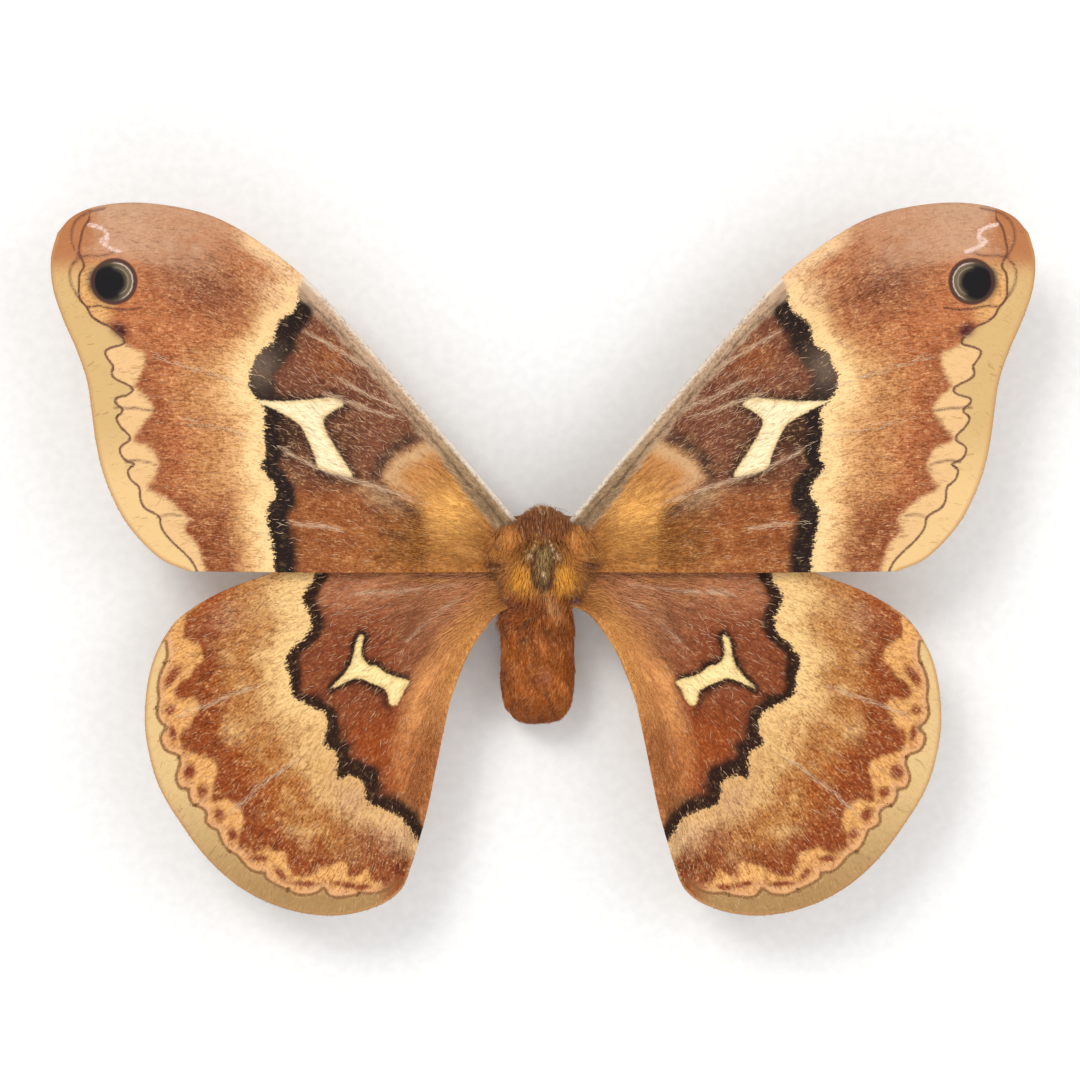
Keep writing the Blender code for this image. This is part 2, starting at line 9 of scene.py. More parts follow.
import bpy
import numpy as np
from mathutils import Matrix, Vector


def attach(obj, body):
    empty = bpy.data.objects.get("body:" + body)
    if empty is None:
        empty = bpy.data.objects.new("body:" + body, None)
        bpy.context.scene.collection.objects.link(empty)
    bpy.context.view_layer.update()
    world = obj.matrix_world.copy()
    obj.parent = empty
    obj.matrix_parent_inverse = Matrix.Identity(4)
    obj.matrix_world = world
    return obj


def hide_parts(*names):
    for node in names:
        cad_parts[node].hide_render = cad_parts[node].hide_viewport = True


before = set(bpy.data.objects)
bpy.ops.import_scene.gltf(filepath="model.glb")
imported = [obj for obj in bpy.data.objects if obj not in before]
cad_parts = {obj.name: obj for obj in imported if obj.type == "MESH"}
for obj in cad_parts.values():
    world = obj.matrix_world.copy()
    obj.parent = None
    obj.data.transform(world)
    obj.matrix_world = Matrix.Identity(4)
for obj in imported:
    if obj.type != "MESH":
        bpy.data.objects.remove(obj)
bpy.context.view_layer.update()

MM = 0.001
PER_METRE = 1000
# What each part's random draws start from.
BODY_SEED = 5
ANTENNA_SEED = 31
PALP_SEED = 61
LEG_SEED = 90
SIDES = ((-1, "left"), (1, "right"))

# Wing outlines of the right side, seen from above. Each has a front, an outer and a back edge, root to tip.
FORE_FRONT = [
    (1.0, 2.4), (3.3, 4.9), (6.0, 8.1), (12.8, 16.1), (18.3, 22.5), (24.2, 29.0), (27.8, 32.2), (32.5, 35.4),
    (36.8, 37.2), (42.6, 38.1), (47.1, 37.8), (50.0, 36.7), (51.7, 34.9),
]
FORE_OUTER = [
    (37.7, -1.15), (40.8, 0.2), (43.9, 3.3), (45.8, 6.5), (47.0, 9.7), (47.7, 12.9), (48.1, 16.1),
    (48.6, 19.3), (49.7, 22.5), (51.1, 25.7), (52.2, 29.0), (52.4, 32.2), (51.7, 34.9),
]
FORE_BACK = [(1.0, -1.2), (20.0, -1.3), (37.7, -1.15)]
HIND_FRONT = [(1.0, 0.5), (5.0, 1.2), (14.0, 1.7), (24.0, 0.5), (29.3, -1.4), (34.1, -3.2), (37.1, -4.8)]
HIND_OUTER = [
    (13.9, -32.1), (15.2, -35.3), (18.0, -37.2), (22.5, -38.1), (27.4, -37.4), (31.9, -35.4),
    (35.8, -32.1), (38.9, -28.0), (41.2, -24.0), (42.4, -19.6), (42.65, -16.3), (42.2, -12.4),
    (41.2, -9.4), (39.3, -6.5), (37.1, -4.8),
]
HIND_BACK = [
    (1.0, -4.8), (4.0, -5.2), (5.6, -6.3), (7.7, -9.2), (9.5, -13.6), (10.5, -17.6), (11.5, -22.4),
    (12.5, -27.2), (13.9, -32.1),
]

FORE_VEINS = [
    [(4.6, 4.0), (10.6, 11.9), (17.0, 19.5), (24.6, 27.6), (30.4, 32.6)],
    [(4.6, 3.0), (10.4, 9.2), (16.6, 15.6), (22.8, 22.0), (31.0, 29.0), (40.6, 36.2)],
    [(22.8, 22.0), (34.6, 29.0), (46.0, 35.4)],
    [(16.6, 15.6), (21.8, 17.0), (35.4, 26.0), (50.2, 31.8)],
    [(21.8, 17.0), (34.6, 22.6), (49.4, 26.0)],
    [(24.4, 9.6), (34.0, 16.4), (47.4, 20.9)],
    [(4.8, 2.0), (12.0, 5.4), (21.2, 9.0), (24.4, 9.6), (32.6, 13.4), (47.0, 15.7)],
    [(17.4, 7.6), (30.0, 8.8), (46.0, 10.2)],
    [(4.8, 0.4), (14.0, 1.4), (30.0, 3.0), (43.6, 4.8)],
]
HIND_VEINS = [
    [(5.2, -1.4), (14.0, -1.0), (24.0, -3.6), (37.2, -6.2)],
    [(14.0, -2.6), (22.0, -5.6), (30.6, -8.2), (40.4, -11.0)],
    [(5.2, -2.4), (14.0, -5.4), (20.4, -10.4), (31.0, -13.4), (41.4, -15.8)],
    [(20.4, -10.4), (29.0, -17.0), (40.6, -21.6)],
    [(14.8, -11.2), (22.0, -18.0), (29.0, -23.2), (38.6, -26.6)],
    [(5.2, -3.4), (10.4, -7.4), (14.8, -11.2), (20.6, -20.0), (27.6, -27.4), (34.6, -31.8)],
    [(11.8, -9.2), (16.8, -20.0), (21.6, -29.0), (27.6, -35.6)],
    [(9.0, -9.0), (12.8, -19.0), (16.6, -30.0), (20.0, -36.2)],
]

# The height of the wings' middle surface, as in the solids.
WING_ROOT_X = 4.0
WING_ROOT_Z = 10.3
WING_REACH = 48.0
DIHEDRAL = 0.045
TIP_DROOP = 1.6
SHOULDER = (3.3, 4.9)
ACROSS_FOREWING = (0.762, -0.648)
FORE_CHORD = 34.0
FORE_CAMBER = 0.8
FORE_HEEL_Y = -1.2
HINDWING_STEP = 1.4
HINDWING_SLOPE = 0.022
HINDWING_LENGTH = 37.0
HIND_CAMBER = 0.5
MEMBRANE = 0.14
VEIN_RISE = 0.16
VEIN_WIDTH = 0.32
# How much of a vein's rise shows on the under side.
UNDER_RIDGE = 0.6
PANEL_SWELL = 0.10
WING_COLUMNS = 180
WING_ROWS = 118

# How far the fine ripples of the outer edges are drawn in.
EDGE_RIPPLE = 0.12

# A wing's flat map: its reach outward, its rear end and its length. Each face of a wing takes half of a map,
# other coats the whole, inside an edge.
MAP_REACH = 54
MAP_REAR = 40
MAP_DEPTH = 80
MAP_HALF = (0.48, 0.98)
MAP_WHOLE = 0.98
MAP_EDGE = 0.01
# The plane on which the streaks of a wing's scales are drawn: its width, and how far hairs are spread on it.
LIE_WIDTH = 36
LIE_SPREAD = 400
# A distance past every marking.
FAR = 9.0

# A tuft's patch on its map, its stations from root to tip and its shares of width at all but the tip.
TUFT_PATCH = 0.003
HAIR_STATIONS = (0.0, 0.35, 0.7, 1.0)
SCALE_STATIONS = (0.0, 0.45, 1.0)
HAIR_TAPER = (0.8, 1.0, 0.65)
WING_HAIR_TAPER = (0.7, 1.0, 0.7)
SCALE_TAPER = (0.75, 1.0)
# The values that have three parts at each point; the others are plain numbers.
VECTORS = ("coat", "lie", "ground", "field")
# How far a scale may stand past the wing's rim, and how long hairs are, on the whole, to get a station more.
FRINGE = 0.1
LONG_HAIR = 1.2
# How deep a scale is rooted in the wing, and its height and share where the markings are calm.
SCALE_ROOT = 0.03
CALM_GRAIN = 0.5
CALM_LIFT = 0.4
CALM_SHARE = 0.4
# How near to a thin line scales thin out, the share that stays there, and the space round the eyespot.
LINE_CLEARANCE = 0.3
LINE_SHARE = 0.1
RING_CLEARANCE = 0.1
# How many tufts each coat has, on each side or in all.
UPPER_SCALES = 13000
UNDER_SCALES = 3200
WING_HAIRS = 2800
FLECKS = 900
THORAX_HAIRS = 11000
ABDOMEN_HAIRS = 11500
HEAD_HAIRS = 3500
COLLAR_HAIRS = 4400
MANTLE_HAIRS = 4600
TIPPET_HAIRS = 2400
# The collar's hairs grow from an arch over the neck: its half turn in degrees, its radius and its level.
COLLAR_TURN = 82
COLLAR_RADIUS = 3.7
COLLAR_LEVEL = 8.6
# The shoulder pads: their middle, their radii and their height.
TIPPET = (3.1, 3.0)
TIPPET_RADII = (1.1, 1.45)
TIPPET_HEIGHT = 0.7
# How deep the body's hairs are rooted, and how close to the floor a hair may come.
SUNK = 0.06
COAT_FLOOR = 0.03

# The body under its coat: y, middle x, middle z, half width and half height.
BODY_STATIONS = [
    (5.75, 0.0, 6.0, 0.3, 0.35), (5.6, 0.0, 6.0, 0.8, 0.95), (5.2, 0.0, 6.05, 1.2, 1.4),
    (4.5, 0.0, 6.15, 1.42, 1.6), (3.8, 0.0, 6.45, 1.35, 1.55), (3.3, 0.0, 7.0, 1.5, 1.8),
    (2.9, 0.0, 7.6, 2.1, 2.4), (2.3, 0.0, 8.1, 2.9, 3.0), (1.2, 0.0, 8.3, 3.5, 3.45),
    (0.0, 0.0, 8.3, 3.7, 3.7), (-1.8, 0.0, 8.2, 3.7, 3.7), (-3.2, -0.1, 7.9, 3.3, 3.4),
    (-4.3, -0.35, 7.4, 3.1, 3.15), (-5.2, -0.5, 6.9, 3.3, 3.2), (-6.4, -0.6, 6.4, 3.65, 3.5),
    (-8.2, -0.6, 5.8, 3.85, 3.65), (-10.2, -0.6, 5.2, 3.95, 3.65), (-12.2, -0.6, 4.4, 3.95, 3.7),
    (-13.6, -0.6, 3.95, 3.9, 3.65), (-15.5, -0.6, 3.7, 3.6, 3.35), (-16.8, -0.55, 3.4, 2.8, 2.65),
    (-17.45, -0.55, 3.3, 1.8, 1.75), (-17.65, -0.55, 3.3, 0.6, 0.6),
]
SKIN_RINGS = 170
SKIN_SIDES = 96
SKIN_FLOOR = 0.2
SEGMENT_LENGTH = 2.1
SEGMENT_GROOVE = 0.035
# Pale and dark spots of the thorax, as they show from above: place, and the pale ones' size.
PALE_FUR_SPOTS = [
    (0.0, 3.4, 0.14), (0.0, 2.9, 0.14), (1.0, 1.2, 0.16), (0.85, 1.6, 0.14), (0.7, 2.0, 0.12),
    (1.45, 0.45, 0.32), (0.0, -1.5, 0.14),
]
MARK_HAIRS = 170
DARK_FUR_SPOTS = [(-0.6, -2.6), (0.55, -2.5)]
DARK_SPOT_RADII = (0.4, 0.34)
# Painted shadows of small tufts in the abdomen's fur: place, radii and turn in degrees.
ABDOMEN_SHADOWS = [
    ((-2.1, -8.6), (0.9, 0.35), 25), ((-1.6, -6.6), (1.5, 0.28), 42), ((0.4, -14.4), (0.5, 0.3), -20),
]
# The collar's two pale lines, on one side, and the front edge of the collar's hair as it shows from above.
COLLAR_LINE = [(0.0, 4.7), (0.5, 5.6)]
COLLAR_FRONT = [(0.0, 6.2), (0.6, 5.95), (1.6, 5.35), (2.4, 4.85), (3.1, 4.35), (4.6, 3.3)]

EYE_CENTRE = (1.45, 4.45, 5.7)
EYE_RADII = (0.95, 0.92, 1.05)
FACETS_PER_MM = 17.0
# The short feelers below the face: points and the radius at each.
PALP = [((0.45, 4.8, 5.2), 0.4), ((0.55, 5.35, 4.5), 0.36), ((0.55, 5.5, 3.9), 0.18)]
PALP_COLOURS = [(0.0, "head fur"), (1.0, "side hair")]
ANTENNA_PATH = [
    (0.8, 4.6, 7.1), (1.7, 4.85, 7.35), (3.0, 4.6, 7.7), (4.7, 4.8, 8.1), (6.6, 6.1, 8.4), (8.7, 8.4, 8.6),
    (10.7, 10.8, 8.7), (12.7, 13.2, 8.8),
]
ANTENNA_COLOURS = [(0.0, "head fur"), (0.2, "antenna"), (1.0, "antenna")]
ANTENNA_JOINTS = 34
FIRST_BRANCH = 7
BRANCH_LENGTH = 1.75
BRANCH_SWEEP = 58
BRANCH_STATIONS = 7
BRANCH_WIDTH = 0.13
BRISTLE_WIDTH = 0.028
# The steps of the path in one joint, and those at which its two pairs of branches grow.
JOINT_STEPS = 8
BRANCH_STEPS = (2, 6)
BRISTLES_EACH = 16
# Legs of the right side, hip to toe: points and the radius at each. The skin is slimmer than the coat.
LEGS = {
    "fore": [
        ((1.5, 1.7, 5.2), 0.7), ((3.2, 2.3, 4.3), 0.72), ((5.4, 4.4, 4.8), 0.5),
        ((5.9, 4.8, 4.5), 0.46), ((7.4, 6.0, 2.6), 0.52), ((8.5, 6.9, 0.9), 0.42),
        ((8.9, 7.2, 0.36), 0.4), ((9.9, 8.2, 0.3), 0.38), ((10.8, 9.2, 0.3), 0.33),
        ((11.3, 9.8, 0.26), 0.26),
    ],
    "mid": [
        ((1.7, -0.3, 5.0), 0.75), ((3.8, 0.1, 4.1), 0.78), ((6.6, 0.6, 5.1), 0.52),
        ((7.3, 0.7, 4.8), 0.48), ((8.8, 1.0, 2.8), 0.56), ((10.0, 1.3, 0.9), 0.44),
        ((10.5, 1.4, 0.36), 0.42), ((11.9, 1.8, 0.3), 0.4), ((13.2, 2.2, 0.3), 0.34),
        ((14.0, 2.4, 0.26), 0.26),
    ],
    "hind": [
        ((1.9, -2.6, 5.0), 0.75), ((4.0, -3.5, 4.1), 0.78), ((6.6, -5.2, 4.9), 0.54),
        ((7.1, -5.8, 4.6), 0.48), ((8.3, -7.6, 2.8), 0.6), ((9.3, -9.2, 0.9), 0.46),
        ((9.7, -9.8, 0.36), 0.42), ((10.5, -11.1, 0.3), 0.4), ((11.3, -12.3, 0.3), 0.34),
        ((11.8, -13.1, 0.26), 0.26),
    ],
}
LEG_SKIN = 0.8
TOE_JOINT = 0.95
LEG_HAIRS = 1500
LEG_SIDES = 18

# Forewing markings, from above. A line and its corners close round the side where its distance is positive.
FORE_BAND = [
    (25.4, 30.2), (26.1, 28.4), (26.5, 26.8), (28.2, 25.2), (28.8, 23.3), (30.3, 22.0),
    (31.2, 19.9), (31.3, 18.2), (30.5, 17.2), (29.6, 15.9), (29.7, 13.6), (29.4, 11.5),
    (30.0, 10.0), (28.8, 8.4), (28.4, 7.1), (29.3, 5.4), (29.3, 4.0), (28.9, 2.3), (28.6, 0.1),
    (28.5, -2.4),
]
FORE_BAND_CORNERS = [(70.0, -2.4), (70.0, 60.0), (25.4, 60.0)]
# Height along the wing, then how far the dark band reaches to the body side there.
FORE_BAND_WIDTHS = [
    (-2.0, 2.5), (5.0, 2.8), (10.0, 1.7), (14.0, 1.9), (17.5, 2.4), (20.5, 3.0), (24.0, 2.4),
    (30.0, 2.3),
]
FORE_MARK = [
    (30.4, 17.0), (27.8, 16.95), (24.8, 17.15), (22.4, 17.35), (21.2, 16.6), (22.4, 15.9),
    (23.4, 14.9), (22.9, 13.4), (21.9, 11.7), (21.0, 10.3), (20.3, 9.0), (21.7, 9.1), (23.8, 9.8),
    (24.3, 11.1), (25.0, 12.8), (25.9, 14.4), (27.5, 15.5), (29.0, 16.3),
]
FORE_BAR = [
    (11.6, 15.4), (12.6, 14.0), (14.1, 13.0), (15.8, 12.1), (17.1, 10.9), (18.1, 8.8), (17.2, 7.2),
    (15.6, 5.9), (13.7, 4.6), (13.4, 2.0), (13.8, -2.4),
]
FORE_BAR_CORNERS = [(-5.0, -2.4), (-5.0, 20.0)]
FORE_SCALLOPS = [
    (48.2, 36.4), (48.9, 35.4), (49.2, 34.2), (49.4, 32.8), (48.8, 31.4), (49.3, 30.5),
    (49.4, 29.0), (49.3, 27.9), (48.5, 26.9), (48.1, 26.1), (47.2, 25.4), (45.8, 24.7),
    (44.5, 23.2), (46.4, 22.5), (46.5, 21.8), (45.7, 20.6), (45.9, 20.1), (45.6, 19.4),
    (43.7, 18.4), (44.1, 17.7), (45.4, 17.3), (45.5, 16.8), (44.7, 16.0), (45.4, 15.2),
    (45.0, 14.3), (43.9, 13.0), (45.0, 12.1), (44.9, 11.2), (44.3, 10.6), (43.5, 10.3), (44.2, 9.6),
    (43.9, 8.6), (43.0, 7.8), (42.9, 6.6), (42.4, 5.6), (40.9, 4.7), (40.7, 3.7), (40.2, 2.8),
    (39.3, 1.8), (38.2, 0.8), (37.2, -0.4), (36.4, -2.4),
]
FORE_SCALLOP_CORNERS = [(70.0, -2.4), (70.0, 60.0), (48.6, 60.0)]
FORE_RUST_EDGE = [
    (46.4, 25.4), (45.1, 23.6), (43.3, 22.6), (42.2, 21.8), (42.8, 19.6), (43.4, 18.4),
    (41.9, 17.2), (41.4, 15.7), (42.6, 14.2), (43.5, 12.9), (41.7, 12.0), (40.8, 10.4), (41.4, 8.8),
    (41.9, 7.8), (39.7, 6.6), (38.0, 4.9), (37.8, 3.9), (38.0, 3.0), (36.6, 1.4), (35.6, -2.4),
]
FORE_RUST_CORNERS = [(0.0, -2.4), (0.0, 25.4)]
FORE_LINES = [
    [(46.6, 37.5), (48.6, 37.0), (49.8, 36.1), (50.2, 34.9), (50.1, 33.7), (49.4, 32.4)],
    [(49.4, 32.2), (50.2, 31.3), (50.4, 30.3), (50.1, 29.1), (49.4, 28.0)],
    [(45.4, 32.9), (46.8, 32.5), (48.2, 32.45), (49.3, 32.3)],
    [(48.5, 27.0), (47.2, 27.1), (45.7, 26.8), (44.0, 26.7), (42.8, 26.9)],
    [(45.6, 16.3), (44.5, 16.25), (43.2, 16.2), (41.4, 15.9)],
    [(44.4, 10.5), (43.4, 10.65), (42.2, 10.5), (41.2, 10.2)],
    [(41.0, 4.6), (39.8, 4.9), (38.6, 4.8)],
]
RING_CENTRE = (45.6, 29.7)
RING_RADIUS = 2.3
PUPIL_CENTRE = (46.25, 29.55)
PUPIL_RADIUS = 1.7
CRESCENTS = ((1.5, 0.18), (1.98, 0.55))
CRESCENT_SIDE = (0.1, 0.45)
FORE_PALE_LINES = [[(48.4, 35.8), (46.8, 35.3), (46.3, 34.3), (47.1, 34.0), (46.0, 33.2), (45.0, 32.9)]]
FORE_STREAKS = [
    [(25.4, 24.5), (22.2, 22.7), (19.1, 20.8)],
    [(23.3, 17.8), (19.1, 16.3), (16.0, 15.3)],
    [(22.0, 19.6), (18.6, 17.6), (15.6, 16.4)],
    [(29.6, 12.8), (24.4, 10.1), (21.0, 8.8), (17.9, 7.9), (13.3, 6.3)],
    [(29.0, 4.2), (25.0, 3.8), (22.0, 3.4)],
    [(39.0, 15.2), (35.6, 14.4), (30.6, 13.2)],
    [(42.0, 22.0), (37.0, 20.4), (31.6, 18.8)],
]

# Hindwing markings, from above.
HIND_BAND = [
    (23.8, 4.0), (24.2, 0.6), (24.4, -1.7), (25.7, -3.9), (25.0, -5.6), (24.9, -7.4), (26.6, -9.3),
    (27.5, -10.6), (27.0, -12.6), (26.8, -14.4), (24.8, -15.5), (23.3, -16.5), (23.0, -17.9),
    (23.4, -19.5), (22.1, -20.6), (22.0, -22.6), (21.9, -23.3), (20.5, -23.0), (19.1, -23.9),
    (18.9, -25.8), (17.4, -26.5), (15.6, -27.2), (14.6, -28.3), (13.5, -30.0), (12.6, -32.0),
]
HIND_BAND_CORNERS = [(12.6, -60.0), (70.0, -60.0), (70.0, 4.0)]
HIND_BAND_WIDTHS = [
    (-32.0, 1.3), (-25.0, 1.7), (-22.5, 2.2), (-18.0, 1.4), (-10.0, 1.4), (-4.0, 1.6), (2.0, 1.2),
]
HIND_MARK = [
    (19.9, -8.4), (19.2, -8.1), (19.4, -10.0), (18.7, -11.1), (17.8, -11.3), (16.5, -12.2), (14.3, -12.9),
    (14.8, -13.8), (15.6, -15.4), (16.4, -15.3), (16.8, -13.9), (18.5, -13.0), (19.8, -12.6), (20.9, -12.9),
    (22.7, -13.7), (21.3, -12.2), (20.4, -10.8),
]
HIND_SCALLOPS = [
    (40.3, -8.6), (40.2, -10.3), (40.6, -11.3), (41.0, -12.3), (41.2, -13.5), (41.1, -14.8),
    (41.3, -16.3), (40.9, -17.3), (40.2, -17.9), (40.9, -18.7), (40.8, -19.6), (40.2, -20.4),
    (39.1, -20.8), (38.8, -21.6), (39.2, -22.8), (39.2, -23.7), (38.7, -24.4), (37.9, -24.4),
    (37.9, -25.2), (37.4, -26.1), (36.4, -26.5), (36.0, -27.1), (36.1, -27.9), (35.5, -28.6),
    (34.8, -28.9), (34.5, -29.8), (33.8, -30.9), (32.7, -31.6), (31.5, -33.0), (30.5, -33.4),
    (29.8, -33.4), (29.6, -34.1), (28.2, -34.9), (27.2, -35.3), (26.2, -35.8), (25.0, -35.8),
    (24.0, -35.5), (23.5, -35.0), (22.9, -35.9), (21.8, -36.1), (20.4, -35.9), (19.4, -35.6),
    (18.2, -35.7), (16.6, -35.2), (15.4, -34.2),
]
HIND_SCALLOP_CORNERS = [(10.0, -60.0), (70.0, -60.0), (70.0, -8.6)]
# Where the rust zone of the hindwing ends in lobes, before the golden ones.
HIND_RUST_EDGE = [
    (38.4, -8.4), (36.5, -9.7), (36.7, -11.0), (38.0, -12.5), (39.3, -13.9), (38.9, -14.7),
    (37.4, -14.7), (36.9, -15.6), (37.5, -17.2), (38.5, -18.3), (38.6, -19.4), (37.9, -20.6),
    (36.4, -20.8), (35.3, -21.6), (34.9, -23.2), (35.3, -24.8), (35.2, -25.8), (33.8, -25.6),
    (32.6, -26.3), (32.1, -28.0), (32.4, -30.3), (31.6, -31.1), (30.0, -30.9), (28.4, -31.0),
    (27.4, -31.8), (26.9, -33.6), (25.6, -33.7), (24.0, -33.0), (22.4, -32.3), (21.2, -32.3),
    (20.8, -33.6), (20.1, -33.9), (18.9, -33.0), (18.3, -34.1), (17.0, -34.9), (15.2, -35.6),
    (14.0, -36.5),
]
HIND_RUST_CORNERS = [(0.0, -36.5), (0.0, 10.0), (38.4, 10.0)]
# The rust spots in the golden lobes: place, two radii and turn.
HIND_SPOTS = [
    ((39.6, -12.3), (0.45, 1.25), 35), ((39.9, -16.0), (0.5, 0.5), 0), ((39.6, -18.5), (0.32, 0.85), -12),
    ((37.8, -22.6), (0.6, 0.75), 20), ((36.4, -24.8), (0.5, 0.6), 0), ((34.6, -27.2), (0.5, 0.65), -20),
    ((33.2, -29.3), (0.42, 0.75), -12), ((30.4, -31.9), (0.85, 0.32), 0), ((28.1, -33.5), (0.34, 0.85), -38),
    ((25.5, -34.6), (1.3, 0.26), 4), ((21.2, -34.7), (1.2, 0.28), 8), ((19.4, -35.0), (0.8, 0.26), -8),
]
HIND_STREAKS = [
    [(30.4, -13.4), (34.6, -14.9), (38.6, -16.4)],
    [(20.4, -3.6), (14.4, -3.2), (9.4, -2.6)],
    [(14.6, -8.6), (12.0, -6.2), (9.0, -4.0)],
    [(26.0, -21.0), (30.0, -24.0), (33.0, -26.6)],
]

# Colours as red, green and blue from 0 to 255.
PALETTE = {
    "fore rust": (138, 84, 58), "fore plum": (120, 68, 58), "fore gold": (188, 126, 70),
    "deep gold": (255, 196, 108), "low gold": (166, 102, 44), "warm rust": (160, 91, 46),
    "pale tan": (202, 160, 116), "bar": (78, 56, 45), "costa": (190, 160, 132),
    "costa pale": (226, 215, 200), "costa line": (112, 86, 66), "costa root": (150, 122, 86),
    "mark edge": (222, 184, 112), "black": (36, 25, 22), "worn black": (118, 97, 82),
    "halo": (52, 35, 28), "deep brown": (92, 58, 40), "flecks": (232, 192, 158),
    "hair white": (240, 214, 180), "grain light": (246, 196, 136), "cream": (247, 209, 150),
    "tan": (224, 172, 115), "rust tan": (196, 135, 84), "rust": (190, 117, 73),
    "deep rust": (150, 84, 50), "apex brown": (146, 90, 62), "apex taupe": (190, 150, 120),
    "apex tan": (196, 152, 120), "apex orange": (178, 116, 74), "costal cream": (232, 192, 146),
    "margin": (209, 173, 117), "lobe": (228, 186, 132), "edge": (190, 140, 92),
    "purple": (84, 38, 40), "olive": (128, 112, 90), "lobe gold": (222, 170, 108),
    "crescent": (112, 98, 74), "mark": (250, 231, 189), "line": (104, 66, 54), "ring": (72, 48, 46),
    "pupil": (26, 24, 26), "pink white": (240, 212, 202), "hind rust": (142, 76, 44),
    "hind dark": (128, 62, 34), "hind base": (208, 142, 98), "hind tan": (222, 154, 92),
    "hind gold": (230, 168, 88), "hind low": (154, 73, 27), "hind black": (44, 24, 16),
    "hind cream": (242, 202, 138), "hind grain": (188, 128, 70), "hind outer": (162, 82, 28),
    "hind purple": (164, 102, 72), "hind lobe": (230, 172, 104), "hind margin": (220, 186, 130),
    "hind olive": (158, 120, 74), "hind deep": (143, 71, 36), "hind mark": (249, 224, 163),
    "hind line": (132, 90, 52), "hind pink": (212, 158, 118), "spot": (148, 74, 44),
    "hind streak": (238, 206, 174), "side hair": (211, 139, 62), "side dark": (166, 98, 46),
    "side olive": (176, 130, 70), "side brown": (128, 74, 34), "side tan": (204, 136, 80),
    "collar": (148, 83, 40), "gold fur": (255, 182, 68), "grey fur": (196, 166, 104),
    "pale fur": (232, 204, 160), "dark fur": (92, 58, 32), "abdomen fur": (176, 92, 22),
    "abdomen dark": (136, 66, 16), "abdomen light": (194, 116, 56), "fluff": (152, 76, 44),
    "purple fluff": (94, 50, 50), "pale tuft": (234, 162, 98), "pink fur": (190, 118, 86),
    "head fur": (116, 70, 44), "belly fur": (176, 122, 84), "hair light": (232, 184, 126),
    "leg": (140, 88, 54), "leg light": (176, 124, 80), "leg dark": (96, 64, 46),
    "claw": (62, 38, 26), "antenna": (124, 88, 58), "branch": (160, 118, 78),
}


def linear(colour):
    """A colour of the palette as light."""
    share = np.array(colour) / 255
    return np.where(share <= 0.04045, share / 12.92, ((share + 0.055) / 1.055) ** 2.4)


LIGHT = {name: linear(colour) for name, colour in PALETTE.items()}


def rgba(name):
    """A colour of the palette for a shader's socket."""
    return (*LIGHT[name].tolist(), 1.0)


def smooth(points, steps=5, closed=False):
    """A smooth curve through the given points."""
    points = np.array(points, float)
    before, after = 2 * points[:1] - points[1:2], 2 * points[-1:] - points[-2:-1]
    if closed:
        before, after = points[-1:], points[:2]
    padded = np.vstack([before, points, after])
    t = np.linspace(0, 1, steps, endpoint=False)[:, None]
    curve = []
    for a, b, c, d in zip(padded, padded[1:], padded[2:], padded[3:]):
        square = (2 * a - 5 * b + 4 * c - d) * t**2
        cube = (3 * b - a - 3 * c + d) * t**3
        curve.append(0.5 * (2 * b + (c - a) * t + square + cube))
    if not closed:
        curve.append(points[-1:])
    return np.vstack(curve)


def run_along(line):
    """How far along a line each of its points is."""
    return np.concatenate([[0], np.cumsum(np.linalg.norm(np.diff(line, axis=0), axis=1))])


def spaced(line, count, run=None):
    """A number of points evenly spaced along a line, or along the run given for its points."""
    run = run_along(line) if run is None else run
    at = np.linspace(0, run[-1], count)
    return np.column_stack([np.interp(at, run, column) for column in line.T])


def ease(value, low, high):
    """A smooth step from 0 at low to 1 at high."""
    t = np.clip((value - low) / (high - low), 0, 1)
    return t * t * (3 - 2 * t)


def fade(value, low, high):
    """A smooth step from 1 at low to 0 at high."""
    return 1 - ease(value, low, high)


def bell(value, width):
    """A soft ridge, 1 where the value is 0."""
    return np.exp(-((value / width) ** 2))


def paint(base, *layers):
    """Lays colours of the palette over another in turn, each by a weight from 0 to 1."""
    for name, weight in layers:
        share = np.clip(weight, 0, 1)[:, None]
        base = base * (1 - share) + LIGHT[name] * share
    return base


def blob(x, y, centre, radii, turn=0):
    """A soft oval, 1 at its middle and falling away to its radii."""
    turn = math.radians(turn)
    across = (x - centre[0]) * math.cos(turn) + (y - centre[1]) * math.sin(turn)
    along = (y - centre[1]) * math.cos(turn) - (x - centre[0]) * math.sin(turn)
    return np.exp(-1.4 * ((across / radii[0]) ** 2 + (along / radii[1]) ** 2))


def cell_value(column, row, seed):
    """A random share from 0 to 1 for each cell of a plane."""
    return np.modf(np.abs(np.sin(column * 12.9898 + row * 78.233 + seed * 37.719) * 43758.5453))[0]


def waves(x, y, size, seed):
    """Smooth random waves of about the given size, from -1 to 1."""
    u = x / size + 100
    v = y / size + 100
    column, row = np.floor(u), np.floor(v)
    fu = ease(u - column, 0, 1)
    fv = ease(v - row, 0, 1)
    low, high = (
        cell_value(column, level, seed) * (1 - fu) + cell_value(column + 1, level, seed) * fu
        for level in (row, row + 1)
    )
    return 2 * (low * (1 - fv) + high * fv) - 1


def rays(x, y, seed):
    """Smooth noise drawn out into streaks that fan from a wing's root."""
    return waves(14 * np.arctan2(y + 3.0, x), 0.25 * np.hypot(x, y), 1.0, seed)


def distance(x, y, line):
    """How far each place is from a line of points."""
    best = np.full(x.shape, 1e9)
    for (ax, ay), (bx, by) in zip(line, line[1:]):
        dx, dy = bx - ax, by - ay
        t = np.clip(((x - ax) * dx + (y - ay) * dy) / (dx * dx + dy * dy + 1e-12), 0, 1)
        best = np.minimum(best, (x - ax - t * dx) ** 2 + (y - ay - t * dy) ** 2)
    return np.sqrt(best)


